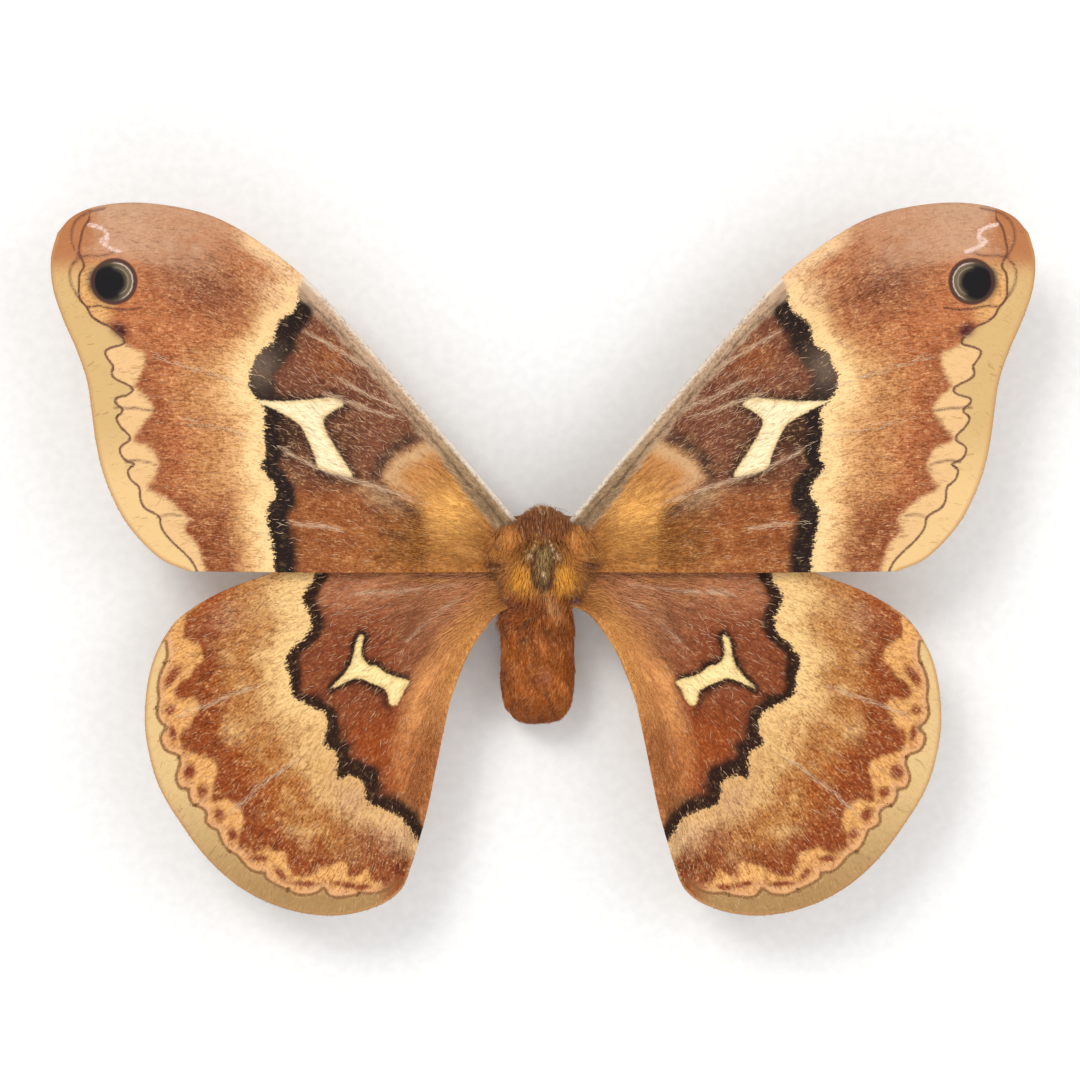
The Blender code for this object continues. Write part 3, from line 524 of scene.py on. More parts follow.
def within(x, y, outline):
    """Whether each place is inside a closed outline."""
    odd = np.zeros(x.shape, bool)
    for (ax, ay), (bx, by) in zip(outline, np.roll(outline, -1, axis=0)):
        if ay != by:
            odd ^= ((ay > y) != (by > y)) & (x < (bx - ax) * (y - ay) / (by - ay) + ax)
    return odd


def signed(x, y, line, corners=()):
    """The distance to a line, positive inside the outline that it makes with its corners."""
    inside = within(x, y, np.vstack([line, np.array(corners)]) if len(corners) else line)
    shown = line if len(corners) else np.vstack([line, line[:1]])
    return np.where(inside, 1, -1) * distance(x, y, shown)


def nearest(x, y, lines):
    """The distance to the nearest of several lines."""
    return np.min([distance(x, y, smooth(line, 4)) for line in lines], axis=0)


def fore_height(x, y):
    """Height of the forewing's middle surface."""
    out = np.abs(x) - WING_ROOT_X
    reach = np.maximum(0, out / WING_REACH)
    behind = (np.abs(x) - SHOULDER[0]) * ACROSS_FOREWING[0] + (y - SHOULDER[1]) * ACROSS_FOREWING[1]
    bulge = FORE_CAMBER * np.sin(np.pi * np.clip(behind / FORE_CHORD, 0, 1)) * np.minimum(1, 3 * reach)
    return WING_ROOT_Z + DIHEDRAL * out - TIP_DROOP * reach**3 + bulge


def hind_height(x, y):
    """Height of the hindwing's middle surface."""
    behind = np.maximum(0, FORE_HEEL_Y - y)
    bulge = HIND_CAMBER * np.sin(np.pi * np.minimum(1, behind / HINDWING_LENGTH))
    level = fore_height(x, np.full(np.shape(x), FORE_HEEL_Y))
    return level - HINDWING_STEP - HINDWING_SLOPE * behind + bulge


def fore_ground(x, y, bar, mark, front, dark, wide, fine, drift):
    """The forewing's inner colours, from its root to the black band."""
    low = fade(y, 3, 7) * ease(x, 5, 8) * fade(x, 19, 27)
    fan = rays(x, y, 8)
    bar_weight = (0.3 + 0.65 * ease(y, 8, 9.5)) * (0.85 + 0.3 * fine) * ease(y, 3.5, 5)
    outside = np.maximum(0, -mark)
    streaks = nearest(x, y, FORE_STREAKS)
    strip = fade(front + 0.25 * fine - 0.5 * fade(x, 6, 16), 1.3, 2.2)
    return paint(
        LIGHT["fore rust"],
        ("deep brown", 0.35 + 0.35 * drift),
        ("fore rust", 0.5 * blob(x, y, (19, 12), (7, 5))),
        ("fore plum", 0.3 * ease(y, 8, 12) * ease(bar, -0.5, -2.5)),
        ("low gold", fade(x + 1.5 * drift, 13, 25) * fade(y, 3, 7)),
        ("warm rust", 0.8 * fade(y, 6, 9) * ease(x, 17, 20)),
        ("warm rust", 0.65 * blob(x, y, (22.5, 21.5), (3.0, 2.4), 30)),
        ("fore gold", 0.6 * low * ease(fan, 0.15, 0.9)),
        ("deep brown", 0.4 * low * ease(-fan, 0.2, 0.9)),
        ("fore gold", ease(bar + 0.4 * drift, 0.5, 1.5) * ease(y, 2.5, 5.5)),
        ("deep gold", 0.85 * blob(x, y, (10.0, 5.4), (3.8, 3.2)) * ease(bar, 0, 1)),
        ("deep gold", 0.25 * blob(x, y, (8.0, 1.5), (6, 2.4))),
        ("low gold", 0.6 * fade(np.hypot(x - 3, y - 1), 2.5, 6.0)),
        ("pale tan", bell(bar - 1.7, 0.9) * ease(y, 6.5, 9)),
        ("pale tan", 0.7 * blob(x, y, (17.0, 6.6), (3.2, 1.0), 20)),
        ("bar", bell(bar, 0.75) * bar_weight),
        ("deep brown", 0.85 * blob(x, y, (27.4, 13.4), (2.6, 3.4))),
        ("halo", 0.75 * blob(x, y, (27.3, 12.6), (1.6, 3.0), 12)),
        ("deep brown", 0.6 * blob(x, y, (21.0, 12.4), (2.4, 3.4))),
        ("halo", 0.95 * bell(outside, 0.85) * (0.8 + 0.25 * fine)),
        ("flecks", 0.6 * bell(streaks, 0.2) * (0.6 + 0.5 * fine)),
        ("black", dark),
        ("worn black", dark * 0.75 * blob(x, y, (30.0, 20.6), (2.4, 2.6))),
        ("costa", strip),
        ("costa root", 0.75 * strip * fade(x, 7, 19)),
        ("costa line", 0.7 * bell(front - 1.35 - 0.15 * wide, 0.16)),
        ("costa pale", 0.8 * fade(front, 0.25, 0.6)),
    )


def fore_field(x, y, out, rust, scallop, front, rim, fine):
    """The forewing's outer colours, from the black band to its edge."""
    high = ease(y, 20.5, 25.0)
    return paint(
        LIGHT["cream"],
        ("tan", ease(out, 1.2, 3.2)),
        ("rust tan", ease(out, 2.8, 5.6)),
        ("rust", ease(out, 5.8, 9.2)),
        ("deep rust", 0.6 * ease(rust, 3.2, 0.4) * ease(out, 5, 8)),
        ("deep rust", 0.85 * ease(out, 2.6, 5.0) * fade(y + 0.3 * x, 15.0, 18.5)),
        ("rust", 0.8 * high * ease(out, 1.6, 4.4)),
        ("apex brown", 0.95 * blob(x, y, (36.2, 29.2), (6.6, 3.6), 25)),
        ("apex taupe", (0.7 + 0.3 * fine) * blob(x, y, (38.5, 34.2), (7.5, 3.6), 8)),
        ("apex tan", 0.9 * ease(x, 38, 43.5) * ease(y, 31.4, 33.4)),
        ("apex taupe", 0.6 * ease(2.6 - front, 0, 2.2) * ease(x, 31, 36)),
        ("costal cream", fade(front, 0.9, 2.2) * fade(x, 30.5, 34.5)),
        ("costal cream", 0.75 * blob(x, y, (28.6, 28.6), (2.6, 1.8), 40)),
        ("apex tan", 0.55 * blob(x, y, (40.8, 31.9), (4.0, 0.6), 6)),
        ("lobe", ease(-rust + 0.15 * fine, -0.2, 0.35) * fade(y, 23.4, 25.0)),
        ("lobe gold", 0.9 * ease(x, 45.0, 47.0) * ease(y, 24.5, 26.0) * fade(y, 31.0, 32.4)),
        ("olive", 0.9 * blob(x, y, (47.8, 30.2), (0.8, 1.3))),
        ("apex orange", 0.85 * blob(x, y, (48.2, 34.3), (1.3, 1.6))),
        ("apex orange", ease(scallop, -1.4, 0.0) * ease(y, 30.5, 33.0)),
        ("margin", ease(scallop, -0.05, 0.05) * fade(y, 29.0, 34.0)),
        ("apex orange", ease(scallop, -0.05, 0.05) * ease(y, 29.5, 34.0)),
        ("cream", 0.5 * ease(scallop, -0.05, 0.05) * fade(y, 7.0, 15.0)),
        ("purple", 1.3 * blob(x, y, (45.0, 24.5), (1.1, 0.8), 35)),
        ("edge", 0.75 * fade(rim, 0.1, 0.45)),
    )


def forewing_fields(x, y):
    """The forewing's markings at each place: two grounds, and the distances that draw its edges."""
    band = signed(x, y, smooth(FORE_BAND), FORE_BAND_CORNERS)
    mark = signed(x, y, smooth(FORE_MARK, 4, True))
    scallop = signed(x, y, smooth(FORE_SCALLOPS), FORE_SCALLOP_CORNERS)
    rust = signed(x, y, smooth(FORE_RUST_EDGE), FORE_RUST_CORNERS)
    bar = signed(x, y, smooth(FORE_BAR), FORE_BAR_CORNERS)
    front = distance(x, y, smooth(FORE_FRONT))
    rim = distance(x, y, smooth(FORE_OUTER))
    wide = waves(x, y, 3.0, 1)
    fine = waves(x, y, 0.9, 2)
    drift = 0.6 * wide + 0.4 * fine
    width = np.interp(y, *np.array(FORE_BAND_WIDTHS).T) * (1 + 0.12 * fine)
    dark = ease(band, -1.15 * width, -0.72 * width)
    out = band + 0.7 * drift
    grain = 0.75 + 0.25 * ease(out, 1.5, 5.0) - 0.3 * ease(out, 9.0, 12.0)
    grain = grain - 0.3 * blob(out, 0 * out, (0.6, 0), (1.2, 1)) - 0.3 * ease(bar, 0.5, 2.0)
    grain = grain * (1 - 0.8 * ease(-rust, -0.2, 0.6) * fade(y, 24, 27) * ease(band, 0, 1))
    grain = grain * (1 - 0.8 * ease(scallop, -0.2, 0.6)) * (1 - 0.75 * dark * (band < 0))
    grain = grain * (1 - 0.5 * ease(y, 30, 33))
    return {
        "ground": fore_ground(x, y, bar, mark, front, dark, wide, fine, drift),
        "field": fore_field(x, y, out, rust, scallop, front, rim, fine),
        "band": band, "mark": mark, "scallop": scallop,
        "line": nearest(x, y, FORE_LINES), "pale": nearest(x, y, FORE_PALE_LINES),
        "ring": np.hypot(x - RING_CENTRE[0], y - RING_CENTRE[1]),
        "pupil": np.hypot(x - PUPIL_CENTRE[0], y - PUPIL_CENTRE[1]),
        "grain": grain,
    }


def hind_ground(x, y, band, mark, anal, black, streaks, fine, drift):
    """The hindwing's inner colours, from its root to the black band."""
    inner = np.interp(-y, [4, 14, 19, 26, 32], [3.2, 4.6, 5.4, 3.6, 2.4])
    outside = np.maximum(0, -mark)
    lower = (1 - np.minimum(1, 1.5 * blob(x, y, (15.3, -15.2), (1.5, 1.5)))) * ease(x, 13.6, 15.0)
    border = 0.6 + 0.2 * fine + 0.3 * blob(x, y, (18.5, -14.4), (2.4, 1.0))
    return paint(
        LIGHT["hind rust"],
        ("hind dark", 0.5 + 0.4 * drift),
        ("hind base", fade(np.hypot(x - 3, y + 2) + 1.5 * drift, 7, 17) * 0.9),
        ("hind base", (0.6 + 0.3 * drift) * blob(x, y, (19, -3.0), (8, 2.6), -8)),
        ("hind low", 0.95 * ease(-y, 14, 19.5) * fade(band, -3.0, -1.6)),
        ("hind gold", 0.5 * ease(rays(x, y, 9), 0.2, 0.9) * fade(np.hypot(x - 3, y + 2), 6, 15)),
        ("hind tan", fade(anal + 0.5 * drift - inner, -1.2, 0.9) * (0.95 - 0.55 * ease(-y, 14, 21))),
        ("hind gold", (0.5 + 0.4 * drift) * fade(anal, 0.6, 3.0) * fade(-y, 9, 20)),
        ("low gold", (0.55 + 0.3 * fine) * fade(np.hypot(x - 4.2, y + 3.6), 1.4, 5.0)),
        ("hind black", lower * np.exp(-((outside / border) ** 4))),
        ("hind purple", 0.6 * blob(x, y, (22.0, -1.5), (3.0, 2.6))),
        ("hind black", black),
        ("hind streak", 0.5 * bell(streaks, 0.2) * (0.6 + 0.5 * fine)),
    )


def hind_field(x, y, out, scallop, rim, streaks, fine):
    """The hindwing's outer colours, from the black band to its edge."""
    patches = waves(x, y, 1.7, 7)
    low = fade(x, 17.5, 24) * ease(-y, 25, 29.5)
    lobes = signed(x, y, smooth(HIND_RUST_EDGE), HIND_RUST_CORNERS)
    return paint(
        LIGHT["hind cream"],
        ("hind grain", np.maximum(ease(out, 1.0, 4.6), 0.45 * ease(-y, 12, 24))),
        ("hind outer", ease(out, 5.6, 9.4)),
        ("hind cream", 0.5 * ease(patches, 0.1, 0.8) * ease(out, 1.5, 3.5) * fade(out, 7, 10)),
        ("hind outer", 0.6 * ease(-patches, 0.15, 0.8) * ease(out, 2.5, 5.5)),
        ("hind deep", 0.9 * low * ease(out, 1.2, 3.0)),
        ("costal cream", 0.8 * blob(x, y, (14.9, -29.6), (3.4, 2.0), 25)),
        ("apex tan", 0.5 * blob(x, y, (20.5, -25.6), (2.6, 1.8), 40)),
        ("hind purple", 0.85 * blob(x, y, (34.6, -6.4), (3.6, 2.2), -25)),
        ("hind cream", 0.5 * blob(x, y, (29.0, -4.4), (3.0, 2.4))),
        ("hind deep", 0.75 * ease(lobes + 0.5 * fine, 4.2, 0.6) * ease(out, 5, 8)),
        ("hind lobe", ease(0.3 * fine - lobes, -0.25, 0.3)),
        ("hind pink", 0.55 * ease(0.2 * fine - scallop, 1.0, 0.6)),
        *(("spot", 2.6 * blob(x, y, *spot)) for spot in HIND_SPOTS),
        ("hind margin", ease(scallop, -0.05, 0.05)),
        ("hind olive", ease(scallop, 0.0, 0.2) * 0.88 * ease(-y, 21, 37)),
        ("hind deep", fade(x, 15.2, 18.6) * ease(-y, 31.0, 33.0)),
        ("edge", 0.8 * fade(rim, 0.1, 0.4)),
        ("hind streak", 0.35 * bell(streaks, 0.16) * (0.6 + 0.5 * fine)),
    )


def hindwing_fields(x, y):
    """The hindwing's markings at each place, as the forewing's."""
    band = signed(x, y, smooth(HIND_BAND), HIND_BAND_CORNERS)
    mark = signed(x, y, smooth(HIND_MARK, 4, True))
    scallop = signed(x, y, smooth(HIND_SCALLOPS), HIND_SCALLOP_CORNERS)
    rim = distance(x, y, smooth(HIND_OUTER))
    anal = distance(x, y, smooth(HIND_BACK))
    wide = waves(x, y, 3.0, 5)
    fine = waves(x, y, 0.9, 6)
    drift = 0.6 * wide + 0.4 * fine
    width = np.interp(y, *np.array(HIND_BAND_WIDTHS).T) * (1.05 + 0.25 * fine)
    black = ease(band, -1.1 * width, -0.6 * width)
    out = band + 1.1 * drift
    streaks = nearest(x, y, HIND_STREAKS)
    grain = 0.5 + 0.5 * ease(out, 0.6, 3.0) - 0.2 * ease(out, 8.0, 11.0)
    grain = grain * (1 - 0.75 * ease(scallop, -1.0, 0.1)) * (1 - 0.6 * black * (band < 0))
    far = np.full(len(x), FAR)
    return {
        "ground": hind_ground(x, y, band, mark, anal, black, streaks, fine, drift),
        "field": hind_field(x, y, out, scallop, rim, streaks, fine),
        "band": band, "mark": mark, "scallop": scallop,
        "line": far, "pale": far, "ring": far, "pupil": far, "grain": grain,
    }


WINGS = {
    "forewing": {
        "front": FORE_FRONT, "outer": FORE_OUTER, "back": FORE_BACK,
        "veins": FORE_VEINS, "height": fore_height,
        "fields": forewing_fields, "seed": 11, "colours": ("mark", "line"),
        "scallop line": ("scallop", 0.04, 0.22, 0.85),
    },
    "hindwing": {
        "front": HIND_FRONT, "outer": HIND_OUTER, "back": HIND_BACK,
        "veins": HIND_VEINS, "height": hind_height,
        "fields": hindwing_fields, "seed": 23, "colours": ("hind mark", "hind line"),
        "scallop line": ("scallop", 0.06, 0.27, 0.85),
    },
}


def new_mesh(name, points, faces, fields, finish, uv=None):
    """An object from points in millimetres, faces, values at its points and a map at its corners."""
    mesh = bpy.data.meshes.new(name)
    mesh.vertices.add(len(points))
    mesh.vertices.foreach_set("co", (np.asarray(points) * MM).astype(np.float32).ravel())
    sizes = np.concatenate([np.full(len(group), group.shape[1]) for group in faces])
    corners = np.concatenate([group.ravel() for group in faces])
    mesh.loops.add(len(corners))
    mesh.loops.foreach_set("vertex_index", corners.astype(np.int32))
    mesh.polygons.add(len(sizes))
    mesh.polygons.foreach_set("loop_start", np.concatenate([[0], np.cumsum(sizes)[:-1]]).astype(np.int32))
    mesh.update(calc_edges=True)
    mesh.shade_smooth()
    for key, values in fields.items():
        kind, part = "FLOAT", "value"
        if key == "lie":
            kind, part = "FLOAT_VECTOR", "vector"
        elif values.ndim > 1:
            kind, part = "FLOAT_COLOR", "color"
            values = np.column_stack([values, np.ones(len(values))])
        layer = mesh.attributes.new(key, kind, "POINT")
        layer.data.foreach_set(part, values.astype(np.float32).ravel())
    if uv is not None:
        mesh.uv_layers.new(name="OFBake").data.foreach_set("uv", uv[corners].astype(np.float32).ravel())
    obj = bpy.data.objects.new(name, mesh)
    bpy.context.scene.collection.objects.link(obj)
    mesh.materials.append(finish)
    return obj


def patch(kind):
    """A wing's own grid: its rows go from the back edge to the front, its columns from root to tip."""
    wing = WINGS[kind]
    front = spaced(smooth(wing["front"]), WING_COLUMNS)
    back = spaced(smooth(wing["back"]), WING_COLUMNS)
    outer = spaced(smooth(wing["outer"]), WING_ROWS)
    ripple = EDGE_RIPPLE * (1 + waves(outer[:, 0], outer[:, 1], 2.6, wing["seed"]))
    taper = np.sin(np.linspace(0, np.pi, WING_ROWS))
    inward = ripple[:, None] * taper[:, None] * (outer - outer.mean(0))
    outer = outer - inward / np.linalg.norm(outer, axis=1)[:, None]
    root = spaced(np.array([back[0], front[0]]), WING_ROWS)
    u = np.linspace(0, 1, WING_COLUMNS)[None, :, None]
    v = np.linspace(0, 1, WING_ROWS)[:, None, None]
    corners = (1 - u) * (1 - v) * back[0] + u * (1 - v) * back[-1]
    corners = corners + (1 - u) * v * front[0] + u * v * front[-1]
    return (1 - v) * back + v * front + (1 - u) * root[:, None] + u * outer[:, None] - corners


def surface(kind, x, y):
    """Height of a wing's middle, with the gentle swell between its veins, and the distance to the veins."""
    wing = WINGS[kind]
    vein = nearest(x, y, wing["veins"])
    swell = PANEL_SWELL * (1 - bell(vein, 2.2))
    return wing["height"](x, y) - swell, vein


def grid_faces(rows, columns):
    """The four-sided faces of a grid of points."""
    index = np.arange(rows * columns).reshape(rows, columns)
    return np.stack([index[:-1, :-1], index[:-1, 1:], index[1:, 1:], index[1:, :-1]], axis=-1).reshape(-1, 4)


def rim_loop(rows, columns):
    """The points round the edge of a grid, in order."""
    index = np.arange(rows * columns).reshape(rows, columns)
    return np.concatenate([index[0, :-1], index[:-1, -1], index[-1, :0:-1], index[:0:-1, 0]])


def lie_of(grid):
    """Distances along and across the wing at each place of its grid, for streaks that run from the root."""
    steps = np.linalg.norm(np.diff(grid, axis=1), axis=2)
    along = np.concatenate([np.zeros((WING_ROWS, 1)), np.cumsum(steps, axis=1)], axis=1)
    across = np.linspace(0, 1, WING_ROWS)[:, None] * np.ones((1, WING_COLUMNS)) * LIE_WIDTH
    return np.stack([along, across, np.zeros_like(along)], axis=-1).reshape(-1, 3)


def membrane(kind, side, name, finish):
    """A wing's thin body: an upper and a lower face joined round the rim."""
    grid = patch(kind)
    x, y = grid.reshape(-1, 2).T
    height, vein = surface(kind, x, y)
    ridge = VEIN_RISE * bell(vein, VEIN_WIDTH)
    top = np.column_stack([x * side, y, height + MEMBRANE / 2 + ridge])
    under = np.column_stack([x * side, y, height - MEMBRANE / 2 - UNDER_RIDGE * ridge])
    count = len(x)
    values = WINGS[kind]["fields"](x, y)
    values["tone"] = np.zeros(count)
    values["lie"] = lie_of(grid)
    values = {key: np.concatenate([value, value]) for key, value in values.items()}
    values["under"] = np.repeat([0.0, 1.0], count)
    loop = rim_loop(WING_ROWS, WING_COLUMNS)
    after = np.roll(loop, -1)
    upper = grid_faces(WING_ROWS, WING_COLUMNS)
    edge = np.column_stack([loop, loop + count, after + count, after])
    faces = [upper, upper[:, ::-1] + count, edge]
    if side < 0:
        faces = [group[:, ::-1] for group in faces]
    uv = np.concatenate([wing_place(x, y, below) for below in (False, True)])
    return new_mesh(name, np.vstack([top, under]), faces, values, finish, uv)


class Graph:
    """Short calls for a material's nodes."""

    def __init__(self, name):
        self.material = bpy.data.materials.new(name)
        self.material.use_nodes = True
        self.tree = self.material.node_tree
        self.shader = self.tree.nodes["Principled BSDF"]

    def link(self, socket, value):
        if isinstance(value, bpy.types.NodeSocket):
            self.tree.links.new(value, socket)
        elif value is not None:
            socket.default_value = value

    def node(self, kind, output=0, **values):
        made = self.tree.nodes.new(kind)
        for key, value in values.items():
            if key.startswith("in_"):
                self.link(made.inputs[int(key[3:])], value)
            else:
                setattr(made, key, value)
        return made.outputs[output]

    def attribute(self, name, output="Fac"):
        return self.node("ShaderNodeAttribute", output, attribute_name=name, attribute_type="GEOMETRY")

    def math(self, operation, a, b=None, c=None):
        return self.node("ShaderNodeMath", operation=operation, in_0=a, in_1=b, in_2=c)

    def place(self):
        """Places in millimetres, which is what the sizes of the noises count in."""
        return self.scaled(self.node("ShaderNodeNewGeometry"), (PER_METRE, PER_METRE, PER_METRE))

    def scaled(self, vector, size):
        return self.node("ShaderNodeVectorMath", operation="MULTIPLY", in_0=vector, in_1=size)

    def ramp(self, value, low, high, start=0.0, end=1.0):
        limits = {"in_0": value, "in_1": low, "in_2": high, "in_3": start, "in_4": end}
        return self.node("ShaderNodeMapRange", interpolation_type="SMOOTHSTEP", **limits)

    def mix(self, share, a, b, blend="MIX"):
        made = self.tree.nodes.new("ShaderNodeMix")
        made.data_type = "RGBA"
        made.blend_type = blend
        self.link(made.inputs[0], share)
        self.link(made.inputs[6], a)
        self.link(made.inputs[7], b)
        return made.outputs[2]

    def noise(self, vector, scale, detail=2.0, roughness=0.5):
        made = self.tree.nodes.new("ShaderNodeTexNoise")
        self.link(made.inputs["Vector"], vector)
        made.inputs["Scale"].default_value = scale
        made.inputs["Detail"].default_value = detail
        made.inputs["Roughness"].default_value = roughness
        return made.outputs["Fac"]

    def bump(self, height, depth, strength):
        """Relief of a depth in millimetres."""
        made = self.tree.nodes.new("ShaderNodeBump")
        made.inputs["Strength"].default_value = strength
        made.inputs["Distance"].default_value = depth * MM
        self.link(made.inputs["Height"], height)
        self.link(self.shader.inputs["Normal"], made.outputs[0])

    def finish(self, colour, roughness, sheen, specular):
        self.link(self.shader.inputs["Base Color"], colour)
        self.link(self.shader.inputs["Roughness"], roughness)
        self.shader.inputs["Sheen Weight"].default_value = sheen
        self.shader.inputs["Specular IOR Level"].default_value = specular
        return self.material


def wing_finish(kind):
    """Draws a wing's markings from the values at its points, with the grain of its scales."""
    mark_colour, line_colour = WINGS[kind]["colours"]
    g = Graph(kind + "_scales")
    lie = g.attribute("lie", "Vector")
    place = g.place()
    streak = g.noise(g.scaled(lie, (1.1, 6.0, 1)), 1.0, 2.0, 0.6)
    grain = g.noise(place, 3.6, 2.0, 0.65)
    mottle = g.noise(place, 0.95, 2.0, 0.6)
    tone = g.attribute("tone")
    amount = g.attribute("grain")
    speck = g.math("ADD", g.math("MULTIPLY", streak, 0.62), g.math("MULTIPLY", grain, 0.58))
    speck = g.math("SUBTRACT", g.math("MULTIPLY_ADD", mottle, 0.35, speck), 0.775)
    speck = g.math("MULTIPLY_ADD", g.math("MULTIPLY", tone, amount), 0.065, speck)
    jitter = g.math("MULTIPLY", speck, 2.2)
    past = g.ramp(g.math("ADD", g.attribute("band"), jitter), -0.1, 0.14)
    colour = g.mix(past, g.attribute("ground", "Color"), g.attribute("field", "Color"))
    dark = g.math("MULTIPLY", g.ramp(speck, 0.0, 0.13), g.math("MULTIPLY", amount, 0.85))
    colour = g.mix(dark, colour, (0.56, 0.38, 0.27, 1), "MULTIPLY")
    light = g.math("MULTIPLY", g.ramp(speck, -0.02, -0.22), g.math("MULTIPLY", amount, 0.55))
    colour = g.mix(light, colour, rgba("grain light"))
    inside = g.ramp(g.math("MULTIPLY_ADD", speck, 0.6, g.attribute("mark")), -0.1, 0.16)
    colour = g.mix(inside, colour, rgba(mark_colour))
    inner_edge = g.ramp(g.math("MULTIPLY_ADD", speck, 0.6, g.attribute("mark")), 0.6, 0.1, 0.0, 0.5)
    colour = g.mix(g.math("MULTIPLY", inside, inner_edge), colour, rgba("mark edge"))
    fray = g.math("MULTIPLY", speck, 0.35)
    for name, inner, outer, strength in (WINGS[kind]["scallop line"], ("line", 0.08, 0.3, 0.5)):
        width = g.math("ADD", g.math("ABSOLUTE", g.attribute(name)), fray)
        colour = g.mix(g.ramp(width, outer, inner, 0.0, strength), colour, rgba(line_colour))
    if kind == "forewing":
        near = g.ramp(g.math("ADD", g.attribute("pale"), fray), 0.3, 0.08, 0.0, 0.6)
        colour = g.mix(near, colour, rgba("pink white"))
        colour = eyespot(g, colour, speck)
    shift = g.node("ShaderNodeHueSaturation", in_0=0.5, in_1=0.72, in_2=1.04, in_4=colour)
    below = g.math("MULTIPLY", g.attribute("under"), 0.85)
    colour = g.mix(below, colour, g.mix(0.35, shift, rgba("apex tan")))
    g.bump(speck, 0.06, 0.6)
    return g.finish(colour, 0.8, 0.03, 0.12)


def eyespot(g, colour, speck):
    """The eyespot: an olive ground, a dark disc that pales to the body side, thin arcs and a dark ring."""
    ring = g.math("MULTIPLY_ADD", speck, 0.25, g.attribute("ring"))
    pupil = g.attribute("pupil")
    inner_side = g.ramp(g.math("SUBTRACT", pupil, g.attribute("ring")), *CRESCENT_SIDE)
    colour = g.mix(g.ramp(ring, RING_RADIUS, RING_RADIUS - 0.2), colour, rgba("crescent"))
    colour = g.mix(g.ramp(pupil, PUPIL_RADIUS + 0.9, PUPIL_RADIUS - 0.2), colour, rgba("pupil"))
    inside = g.ramp(ring, RING_RADIUS + 0.05, RING_RADIUS - 0.1, 0.0, 0.6)
    paler = g.math("MULTIPLY", g.math("MULTIPLY", inner_side, inside), g.ramp(ring, 0.9, 1.7))
    colour = g.mix(paler, colour, rgba("crescent"))
    for radius, strength in CRESCENTS:
        away = g.math("ABSOLUTE", g.math("SUBTRACT", ring, radius))
        share = g.math("MULTIPLY", inner_side, g.ramp(away, 0.1, 0.02, 0.0, strength))
        colour = g.mix(share, colour, rgba("pink white"))
    edge = g.math("ABSOLUTE", g.math("SUBTRACT", ring, RING_RADIUS))
    return g.mix(g.ramp(edge, 0.3, 0.1, 0.0, 0.92), colour, rgba("ring"))


def slot(obj):
    """Rides a piece on the moth."""
    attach(obj, "root")
    return obj


def wings():
    """The four wings' membranes."""
    for kind in WINGS:
        finish = wing_finish(kind)
        for side, word in SIDES:
            obj = membrane(kind, side, f"{kind}_{word}_membrane", finish)
            slot(obj)
            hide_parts(f"{kind}_{word}")


def scatter(grid, count, rng, weight=None):
    """Random places on a grid of points, spread by area, each with the grid's own directions there."""
    a, b, c, d = grid[:-1, :-1], grid[1:, :-1], grid[1:, 1:], grid[:-1, 1:]
    area = np.linalg.norm(np.cross(c - a, d - b), axis=2)
    if weight is not None:
        area = area * weight((a + b + c + d) / 4)
    total = np.cumsum(area.ravel())
    order = (np.arange(count) + rng.random(count)) / count * total[-1]
    pick = np.minimum(np.searchsorted(total, order), area.size - 1)
    row, column = np.divmod(pick, area.shape[1])
    s, t = rng.random((2, count, 1))
    a, b, c, d = (corner[row, column] for corner in (a, b, c, d))
    along = (b - a) * (1 - t) + (c - d) * t
    around = (d - a) * (1 - s) + (c - b) * s
    along = unit(along, 1e-12)
    normal = unit(np.cross(along, around), 1e-12)
    place = a * (1 - s) * (1 - t) + b * s * (1 - t) + c * s * t + d * (1 - s) * t
    shares = np.column_stack([(row + s[:, 0]) / area.shape[0], (column + t[:, 0]) / area.shape[1]])
    return {"place": place, "along": along, "normal": normal, "shares": shares}


def unit(vectors, least=0.0):
    """Vectors brought to a length of one."""
    return vectors / (np.linalg.norm(vectors, axis=1, keepdims=True) + least)


def upward(count):
    """A number of directions straight up."""
    return np.tile([0.0, 0.0, 1.0], (count, 1))


def tones(rng, count, spread=0.8):
    """How light or dark each hair is, about 0."""
    return np.clip(rng.normal(0, spread, count), -2, 2)


def turned(way, up, angle):
    """Directions turned about the upward ones by an angle in radians, and the directions to their right."""
    right = np.cross(way, up)
    bent = way * np.cos(angle)[:, None] + right * np.sin(angle)[:, None]
    return bent, np.cross(bent, up)


def centre_lines(root, way, up, right, length, lift, bend, swing, shares):
    """The middle of each tuft: it rises from its root, bends back down and swings a little to one side."""
    lines = []
    for share in shares:
        along = length * share
        rise = length * (lift * share - bend * share**2)
        aside = length * swing * share**2
        lines.append(root + way * along[:, None] + up * rise[:, None] + right * aside[:, None])
    return np.stack(lines, axis=1)


